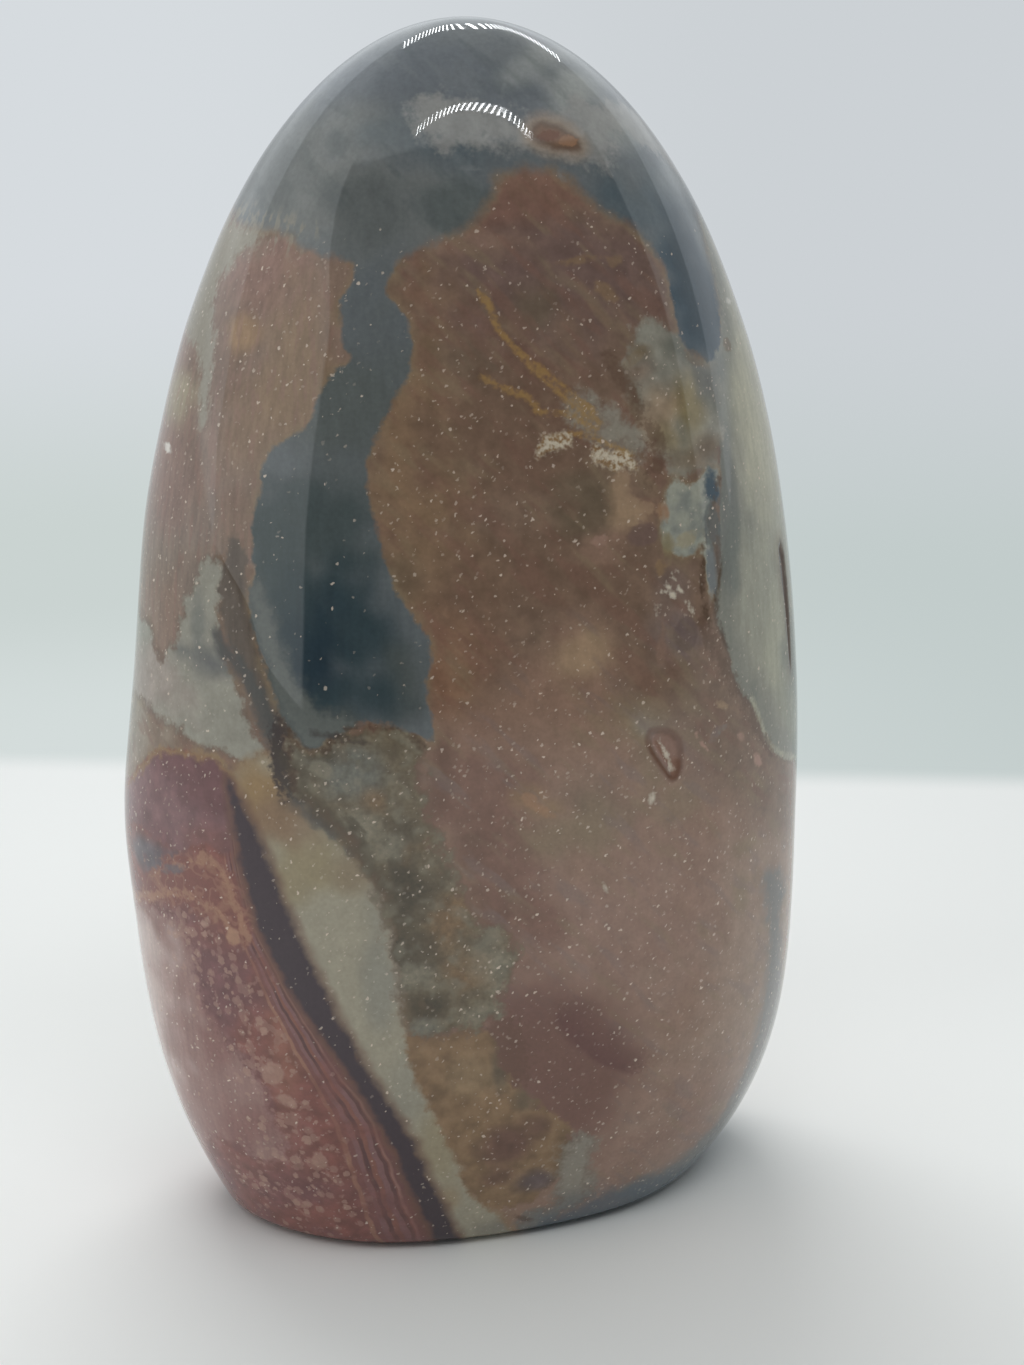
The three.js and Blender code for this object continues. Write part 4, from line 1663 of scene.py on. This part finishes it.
# Each band has a tint, the middle of its lane, half its width, and its strength.
BANDS = [
    ("dusty red", -3.0, 3.2, 0.8),
    ("ribbon", -5.8, 0.35, 0.6),
    ("maroon", -5.1, 0.45, 0.5),
    ("plum light", -4.4, 0.35, 0.6),
    ("dark line", -3.7, 0.3, 0.8),
    ("orange red", -3.1, 0.3, 0.5),
    ("plum light", -2.4, 0.4, 0.6),
    ("dark line", -1.8, 0.25, 0.7),
    ("petal", -1.2, 0.2, 0.35),
    ("maroon", -0.6, 0.5, 0.9),
]
lane = finish.distance("charcoal") * (1 + z * z * LANE_STRETCH)
lane = lane + finish.noises["coarse"][1] * 2.2 + finish.noises["middling"][0] * 0.5
lane_zone = finish.distance("charcoal").step(-7.5, -6) * in_red
lane_zone = lane_zone * (0.35 + 0.65 * finish.blotches("coarse", 0, -0.12, 0.06))
for tint, middle, half_width, strength in BANDS:
    in_band = 1 - net.math("ABSOLUTE", lane - middle).step(half_width * 0.6, half_width * 1.3)
    finish.lay(in_band * lane_zone * strength, tint)
print("bands laid:", len(BANDS))

# %% [markdown]
# Above the bands lie a fine net of tan threads and a plum-coloured end. A thread is
# drawn where a noise is close to 0, because such places form thin wandering lines.

# %% The plum end and the web above the bands
web = 1 - net.math("ABSOLUTE", finish.noises["middling"][0] + 0.01).step(0.02, 0.06)
web_lines = 1 - net.math("ABSOLUTE", finish.noises["coarse"][2]).step(0.015, 0.05)
in_web = finish.border("tan web", fray=0.8, blur=0.8)
finish.lay(in_web, "red")
finish.lay(in_web * web * 0.28, "web tan")
finish.lay(in_web * web_lines * 0.42, "ribbon")
plum_rim = finish.border("plum", fray=0.5, blur=0.5, out=0.7)
finish.lay(plum_rim * z.step(49, 52) * 0.75, "ochre")
finish.cover("plum", finish.mottled("plum", 0.35, channel=2), fray=0.5, blur=0.5)
finish.trace("tan ribbon", "ribbon", 0.8, width=0.8, channel=1, blur=0.3)
finish.cover("charcoal", "rust", 0.7, fray=0.3, blur=0.6, channel=1, out=0.7)
finish.cover("charcoal", "charcoal", fray=0.3, blur=0.5, channel=1, out=-0.1)
print("plum laid")

# %% [markdown]
# The right-hand side is pale, with a grey zone along its border and a lighter rim at
# its tip. Beside it lie a patch of lichen colours, a small sky-blue one, and the crease,
# which is filled with painted shade.

# %% The right-hand side
finish.cover("pearl side", "umber", 0.5, fray=0.3, blur=0.3, out=0.4)
finish.cover("pearl side", finish.mottled("side", 0.22, "streak"), fray=0.25, blur=0.25)
grey_edge = finish.distance("pearl side") + finish.noises["coarse"][0] * 5
in_side = finish.border("pearl side", fray=0.25, blur=0.25)
finish.lay(in_side * grey_edge.step(4.5, 1.2) * 0.6, "side grey")
finish.trace("tip rim", "side light", 0.8, width=0.6, blur=0.3, wander=0.3)
finish.cover("lichen", finish.mottled("lichen", 0.4), fray=0.8, blur=0.7)
finish.cover("sky", "khaki", 0.7, fray=0.4, blur=0.4, out=0.35)
finish.cover("sky", "sky", fray=0.4, blur=0.3)
sky_blotches = finish.border("sky", fray=0.3, blur=0.2) * finish.blotches("middling", 1, -0.1, 0.3)
finish.lay(sky_blotches * 0.45, "slate blue")
finish.cover("deep blue", "deep blue", fray=0.4, blur=0.6, out=0.3)
# The crease's dark fill is painted shade, with a soft brown edge round it.
finish.cover("shaded crease", "lichen brown", 0.5, fray=0.3, blur=1.4, out=1)
finish.cover("shaded crease", "shaded crease", fray=0.2, blur=0.6)
print("right-hand side laid")

# %% [markdown]
# The slate cap covers the top and runs down the front as a dark river. It is laid late,
# because its border cuts across the patches under it. A pale band and a small brown eye
# lie in it.

# %% The slate cap and river
rim = finish.border("slate", fray=0.35, blur=0.6, out=0.6)
finish.lay(rim * finish.blotches("coarse", 0, -0.12, 0.06) * 0.55, "khaki")
slate = finish.mottled("slate", 0.12, "streak")
slate = net.mix(wisps[0].step(0.5, 0.7) * z.step(108, 118) * 0.16, slate, TINTS["frost"])
slate = net.mix(wisps[1].step(0.52, 0.7) * z.step(100, 110) * 0.25, slate, TINTS["river dark"])
slate = net.mix(finish.border("lavender", fray=0.5, blur=0.8), slate, TINTS["river grey"])
in_lavender = finish.border("lavender", fray=0.5, blur=0.6, out=-0.5)
slate = net.mix(in_lavender, slate, TINTS["lavender"])
finish.cover("slate", slate, fray=0.35, blur=0.3 + z.step(103, 111) * 0.6)
band = net.scaled(TINTS["band"][:3], 1 + finish.noises["middling"][2] * 0.6)
finish.cover("pale band", band, 0.85, fray=1.0, blur=1.0, channel=1, out=-0.1)
fringe = finish.border("fringe", fray=0.5, blur=1.0) * finish.blotches("streak", 0, -0.02, 0.1)
finish.lay(fringe * 0.6, "mint")
finish.cover("eye", "tan", 0.5, fray=0.2, blur=0.9, out=0.8)
finish.cover("eye", "eye brown", 0.9, fray=0.15, blur=0.5)
finish.cover("eye", "eye orange", 0.45, fray=0.15, blur=0.5, out=-0.6)
finish.lay(finish.spot(18.4, 118.1, (1.4, 2, 0.6)) * 0.6, "eye red")
finish.lay(finish.spot(23.2, 117.6, (1.1, 2, 0.6)), "eye orange")
print("slate laid")

# %% [markdown]
# Last come the things that cut through everything else: veins, seams, the dabs, the
# pocket of small crystals, and the rim and floor of the hollow.

# %% Veins, pockets, dabs and seams
finish.cover("pocket", "pearl", 0.8, fray=0.7, blur=0.7)
finish.trace("ochre vein", "rust", 0.35, width=1.5, channel=1, blur=0.7)
finish.trace("ochre vein", "vein", 0.75, width=0.5, blur=0.3, wander=0.6)
finish.trace("dark seam", "seam", 0.75, width=0.5, blur=0.3)
finish.trace("red strand", "eye brown", 0.6, width=1.2, channel=1, blur=0.6)
# The crevice's shadow is painted as a soft smoke-grey line.
finish.trace("crevice shadow", "smoke", 0.6, width=1.1, channel=2, blur=0.6, wander=0.4)
dab_colour = net.node("ShaderNodeAttribute", {"attribute_name": "dab colour"}, output="Color")
dab_strength = net.node("ShaderNodeAttribute", {"attribute_name": "dab colour"}, output="Alpha")
finish.cover("dabs", dab_colour, dab_strength, fray=0.2, blur=0.2)
finish.cover("crystal", "vein", 0.45, fray=0.6, blur=0.4, channel=1)
crystals = finish.border("crystal", fray=0.6, blur=0.5, channel=1)
finish.lay(crystals * finish.blotches("fine", 1, -0.2, 0.14) * 0.75, "crystal")
finish.trace("graze", "petal", 0.9, width=0.35, blur=0.15, wander=0.2)
finish.cover("hollow", "hollow rim", 0.7, fray=0.1, blur=0.25, out=0.25)
finish.cover("hollow", "hollow floor", fray=0.1, blur=0.3, out=-0.5)
# Quartz threads, and a painted reflection: a white glint in the hollow.
finish.trace("quartz threads and hollow glint", "crystal", 0.8, width=0.45, channel=1, blur=0.2)
print("veins and pockets laid")

# %% [markdown]
# ## Specks
#
# Tiny pale crystals are scattered through the stone. Each one is the cut through a
# small grain somewhere in the rock, so they are drawn as small balls around random
# points in space, a little drawn out to one side. The slate holds few.

# %% Specks
GRAIN_GAP = 0.56
GRAIN_TURN = (0.3, 0.8, 0.2)
GRAIN_STRETCH = (1.0, 1.0, 1.5)
GRAIN_SMALLEST = 0.05
GRAIN_GROWTH = 0.1
# How much more crowded the specks are in a patch than in the body.
CROWD_IN_BODY = 0.8
CROWDS = {"rosy": 0.3, "moss": 0.5, "cream": 0.5, "blush": 0.3, "slate": -0.62, "plum": 0.6}

turned = {"Vector": finish.wavy, "Rotation": GRAIN_TURN, "Scale": GRAIN_STRETCH}
grain_place = net.node("ShaderNodeMapping", {"vector_type": "TEXTURE"}, turned)
gap, kind, size, light = finish.grains(grain_place, GRAIN_GAP)
radius = GRAIN_SMALLEST + GRAIN_GROWTH * size
dots = 1 - (gap / radius).step(0.65, 1.3)
crowd = CROWD_IN_BODY
for name, more in CROWDS.items():
    crowd = crowd + finish.distance(name).step(-0.5, 0.5) * more
crowd = crowd - z.step(106, 112) * 0.25 - finish.distance("charcoal").step(-6, -1) * 0.5
present = (crowd - kind).step(-0.01, 0.01)
finish.lay(dots * present * (0.14 + 0.7 * light * light * light), "speck")
print("specks laid")

# %% [markdown]
# ## The polish
#
# The finished colour gets a fine grain. The polish is very smooth, a little less so
# where the rock is softer, and quartz gives the strength of its mirror image.

# %% Fine grain and the shader
SMOOTHEST = 0.02
ROUGHER_BY = 0.05
QUARTZ_IOR = 1.54

grain = 1 + finish.noises["fine"][2] * 0.24 + finish.noises["streak"][1] * 0.12
skin_colour = net.scaled(finish.colour, grain)
gloss = SMOOTHEST + ROUGHER_BY * finish.blotches("middling", 0, 0.05, 0.25)
shader_values = {"Base Color": skin_colour, "Roughness": gloss, "IOR": QUARTZ_IOR}
shader = net.node("ShaderNodeBsdfPrincipled", None, shader_values)
net.node("ShaderNodeOutputMaterial", None, {"Surface": shader})
print("finish done, nodes:", len(net.tree.nodes))

# %% [markdown]
# ## The studio
#
# The stone was photographed in a small white light box with an open front. The
# polish shows the box again: its pale walls as a haze at both sides, its open front
# as a dark arch over the broad face, and two curved rows of lamps in its ceiling as
# two dotted arcs near the top. So the room is made with care, because a polished
# stone is half made of what it mirrors.

# %% A sheet of card for the floor and the wall
SWEEP_HALF = 20000 * MM
SWEEP_FRONT = -340 * MM
SWEEP_BACK = 560 * MM
SWEEP_HEIGHT = 900 * MM
SWEEP_RADIUS = 120 * MM
SWEEP_STEPS = 24


def stage_mesh(name, points, faces):
    mesh = bpy.data.meshes.new(name)
    mesh.from_pydata(points, [], faces)
    made = bpy.data.objects.new(name, mesh)
    bpy.context.scene.collection.objects.link(made)
    return made


def sweep():
    """One sheet of card: a floor that curves up into a wall far behind the stone."""
    profile = [(SWEEP_FRONT, 0.0)]
    for step in range(SWEEP_STEPS + 1):
        turn = math.radians(90) * step / SWEEP_STEPS
        y = SWEEP_BACK - SWEEP_RADIUS * (1 - math.sin(turn))
        profile.append((y, SWEEP_RADIUS * (1 - math.cos(turn))))
    profile.append((SWEEP_BACK, SWEEP_HEIGHT))
    points = [(side * SWEEP_HALF, y, z) for y, z in profile for side in (-1, 1)]
    faces = [(i, i + 1, i + 3, i + 2) for i in range(0, len(points) - 2, 2)]
    return stage_mesh("sweep", points, faces)


backdrop = sweep()
print("sheet of card, faces:", len(backdrop.data.polygons))

# %% [markdown]
# The card is lit as the photograph shows it: bright near the stone, and behind a soft
# fold an even, bluish wall. Its tints change along the sheet, stop by stop. A stop says
# where a change begins, where it ends, and the tint that it ends in.

# %% The white card
CARD_ROUGHNESS = 0.85
FOLD_AT = 160.0
FOLD_SLANT = 0.2175
FOLD_BLUR = 8
FAR_FLOOR_ENDS = (420, 470)
# The floor's tints are painted light and shade: lighter near the stone, and dark far in front,
# where the box is open.
FLOOR_TINT = paint(237, 238, 236)
FLOOR_LIGHT_AND_SHADE = [
    (-60, -5, paint(245, 246, 244)),
    (15, 90, paint(242, 243, 241)),
    (200, 345, paint(60, 60, 62)),
]
# The wall is a glow with its light painted in: darker just behind the fold, lighter higher up, and
# darker on the right.
WALL_TINT = paint(212, 220, 219)
WALL_PAINTED_LIGHT = [(190, 330, paint(202, 211, 209)), (420, 760, paint(214, 219, 223))]
RIGHT_WALL_SHADE = paint(194, 204, 203)
RIGHT_WALL_SHADE_STOPS = [(300, 760, paint(204, 209, 213))]
RIGHT_WALL_SHADE_FROM = (-60, 190)
MIRRORED_MORE = 0.9
MIRRORED_FROM = (250, 420)


def graded(net, place, tint, stops):
    """A tint that changes softly along a place."""
    for begins, ends, then in stops:
        tint = net.mix(place.step(begins, ends), tint, then)
    return tint


def white_card():
    """White card near the stone, its tints painted with light and shade. Behind the fold it is the
    box's evenly lit wall, a glow with its light painted in.
    """
    card = bpy.data.materials.new("white card")
    card.use_nodes = True
    net = Net(card.node_tree)
    x, y, z = net.split(net.scaled(net.node("ShaderNodeTexCoord", output="Object"), 1 / MM))
    floor_values = {
        "Base Color": graded(net, -y, FLOOR_TINT, FLOOR_LIGHT_AND_SHADE),
        "Roughness": CARD_ROUGHNESS,
    }
    floor = net.node("ShaderNodeBsdfPrincipled", None, floor_values)
    up_wall = y + z * 3
    wall = graded(net, up_wall, WALL_TINT, WALL_PAINTED_LIGHT)
    right = graded(net, up_wall, RIGHT_WALL_SHADE, RIGHT_WALL_SHADE_STOPS)
    wall = net.mix(x.step(*RIGHT_WALL_SHADE_FROM), wall, right)
    mirrored = net.node("ShaderNodeLightPath", output="Is Glossy Ray")
    strength = 1 + mirrored * z.step(*MIRRORED_FROM) * MIRRORED_MORE
    glow = net.node("ShaderNodeEmission", None, {"Color": wall, "Strength": strength})
    near_side = 1 - (y + x * FOLD_SLANT).step(FOLD_AT - FOLD_BLUR, FOLD_AT + FOLD_BLUR)
    far = 1 - near_side * (1 - y.step(*FAR_FLOOR_ENDS))
    both = net.node("ShaderNodeMixShader", None, {0: far, 1: floor, 2: glow})
    net.node("ShaderNodeOutputMaterial", None, {"Surface": both})
    return card


backdrop.data.materials.append(white_card())
backdrop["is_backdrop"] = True
print("backdrop ready")

# %% The floor in front
FRONT_FLOOR_NEAR = -195 * MM
FRONT_FLOOR_FAR = -20000 * MM
FRONT_FLOOR_LIFT = 0.2 * MM


def front_floor():
    """The floor under the camera and behind it, which the stone doesn't mirror."""
    ends = [
        (-SWEEP_HALF, FRONT_FLOOR_NEAR),
        (SWEEP_HALF, FRONT_FLOOR_NEAR),
        (SWEEP_HALF, FRONT_FLOOR_FAR),
        (-SWEEP_HALF, FRONT_FLOOR_FAR),
    ]
    made = stage_mesh("front floor", [(x, y, FRONT_FLOOR_LIFT) for x, y in ends], [(3, 2, 1, 0)])
    made.visible_glossy = False
    made.visible_diffuse = False
    made.visible_shadow = False
    return made


plain_card = bpy.data.materials.new("plain card")
plain_card.use_nodes = True
card_sockets = plain_card.node_tree.nodes["Principled BSDF"].inputs
card_sockets["Base Color"].default_value = paint(239, 240, 238)
card_sockets["Roughness"].default_value = CARD_ROUGHNESS
nearer = front_floor()
nearer.data.materials.append(plain_card)
nearer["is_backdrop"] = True
print("front floor ready")

# %% [markdown]
# The walls, the ceiling and the open front are the world itself. Its glow depends on
# the way a ray goes: how far it is turned round from the front and how far it is
# raised. The camera sees an even grey in place of it.

# %% The box's walls and its open front
WALL_GLOW = 0.88
BACK_GLOW = 0.66
BACK_FROM = (0.2, 0.8)
CEILING_GLOW = 0.5
CEILING_FROM = (52, 66)
RIGHT_DIMMER = 0.15
RIGHT_DIM_FROM = (60, 72)
RIGHT_DIM_TO = (140, 120)
ROOM_GLOW = 0.07
SEEN_GLOW = 0.62
OPENING_LEFT = 33
OPENING_CORNER = 22
OPENING_CORNER_FROM = (20, 44)
OPENING_RIGHT = 68
OPENING_TOP = 49
LEFT_BLUR = 1.2
RIGHT_BLUR = 1.5
TOP_BLUR = 1.0
AIR_TINT = paint(250, 254, 255)

world = bpy.data.worlds.new("light box")
bpy.context.scene.world = world
world.use_nodes = True
box = Net(world.node_tree)
way_x, way_y, way_z = box.split(box.node("ShaderNodeTexCoord", output="Generated"))
turned = box.math("ARCTAN2", way_x, -way_y) * (180 / math.pi)
raised = box.math("ARCSINE", way_z) * (180 / math.pi)
left_edge = OPENING_LEFT + OPENING_CORNER * raised.step(*OPENING_CORNER_FROM)
opening = (turned + left_edge).step(-LEFT_BLUR, LEFT_BLUR)
opening = opening * (OPENING_RIGHT - turned).step(-RIGHT_BLUR, RIGHT_BLUR)
opening = opening * (OPENING_TOP - raised).step(-TOP_BLUR, TOP_BLUR)
walls = WALL_GLOW + (BACK_GLOW - WALL_GLOW) * way_y.step(*BACK_FROM)
walls = walls * (1 - turned.step(*RIGHT_DIM_FROM) * turned.step(*RIGHT_DIM_TO) * RIGHT_DIMMER)
walls = walls + (CEILING_GLOW - walls) * raised.step(*CEILING_FROM)
glow = walls + (ROOM_GLOW - walls) * opening
seen = box.node("ShaderNodeLightPath", output="Is Camera Ray")
glow = glow + (SEEN_GLOW - glow) * seen
air = box.node("ShaderNodeBackground", None, {"Color": AIR_TINT, "Strength": glow})
box.node("ShaderNodeOutputWorld", None, {"Surface": air})
print("light box ready")

# %% [markdown]
# The lamps are small slanted slits of light in two bent rows. Only the polish sees
# them. Their light itself comes from two broad lamps, which the polish doesn't mirror,
# so the dots stay crisp and the shadows stay soft.

# %% The rows of lamps
FRONT_LAMP_GLOW = 36
BACK_LAMP_GLOW = 17
LAMP_TINT = (0.95, 0.98, 1.0, 1.0)
LAMP_SLANT = 1.6
LAMP_HEIGHT = 400
LAMP_CORNERS = ((-1, -1), (-1, 1), (1, 1), (1, -1))


def lamp_light(name, glow):
    """A light of its own colour that nothing shades."""
    light = bpy.data.materials.new(name)
    light.use_nodes = True
    net = Net(light.node_tree)
    shine = net.node("ShaderNodeEmission", None, {"Color": LAMP_TINT, "Strength": glow})
    net.node("ShaderNodeOutputMaterial", None, {"Surface": shine})
    return light


def lamp_row(name, path, count, width, length, glow):
    """A bent row of small slanted lamps in the ceiling that face the stone."""
    curve = smooth_line(path, closed=False)
    ends = np.arange(len(curve))
    points = []
    for spot in np.linspace(0, ends[-1], count):
        place = Vector([np.interp(spot, ends, curve[:, part]) for part in range(2)] + [LAMP_HEIGHT])
        for x, y in LAMP_CORNERS:
            corner = Vector((x * width + y * LAMP_SLANT, y * length, 0)) / 2
            points.append((place + corner) * MM)
    faces = [(i, i + 1, i + 2, i + 3) for i in range(0, len(points), 4)]
    row = stage_mesh(name, points, faces)
    row.data.materials.append(lamp_light(name, glow))
    row.visible_camera = False
    row.visible_diffuse = False
    row.visible_shadow = False
    row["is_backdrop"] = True


front_path = [(-13, -222), (18, -193), (38, -175), (56, -187), (80, -227)]
lamp_row("front lamps", front_path, count=25, width=0.9, length=19, glow=FRONT_LAMP_GLOW)
back_path = [(-78, 154), (-20, 156), (30, 170), (80, 214), (150, 248), (210, 215)]
lamp_row("back lamps", back_path, count=34, width=2.4, length=80, glow=BACK_LAMP_GLOW)
print("lamp rows ready")


# %% The soft light
LIT_SPOT = Vector((0, 0, 60))


def soft_light(name, place, size, power):
    """A broad soft light that the polish doesn't mirror."""
    light = bpy.data.lights.new(name, "AREA")
    light.shape = "RECTANGLE"
    light.size, light.size_y = (side * MM for side in size)
    light.energy = power
    lamp = bpy.data.objects.new(name, light)
    lamp.location = Vector(place) * MM
    lamp.rotation_euler = (LIT_SPOT - Vector(place)).to_track_quat("-Z", "Y").to_euler()
    lamp.visible_camera = False
    lamp.visible_glossy = False
    bpy.context.scene.collection.objects.link(lamp)


soft_light("front glow", place=(30, -190, 420), size=(260, 120), power=0.28)
soft_light("back glow", place=(-40, 230, 430), size=(320, 120), power=0.84)
print("lamps ready")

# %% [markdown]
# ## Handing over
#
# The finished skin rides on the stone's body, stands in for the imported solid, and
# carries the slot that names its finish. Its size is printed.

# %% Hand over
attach(stone, "root")
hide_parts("stone")

low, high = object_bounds()
print("visual size, mm:", [round(1000 * (h - l), 1) for l, h in zip(low, high)])
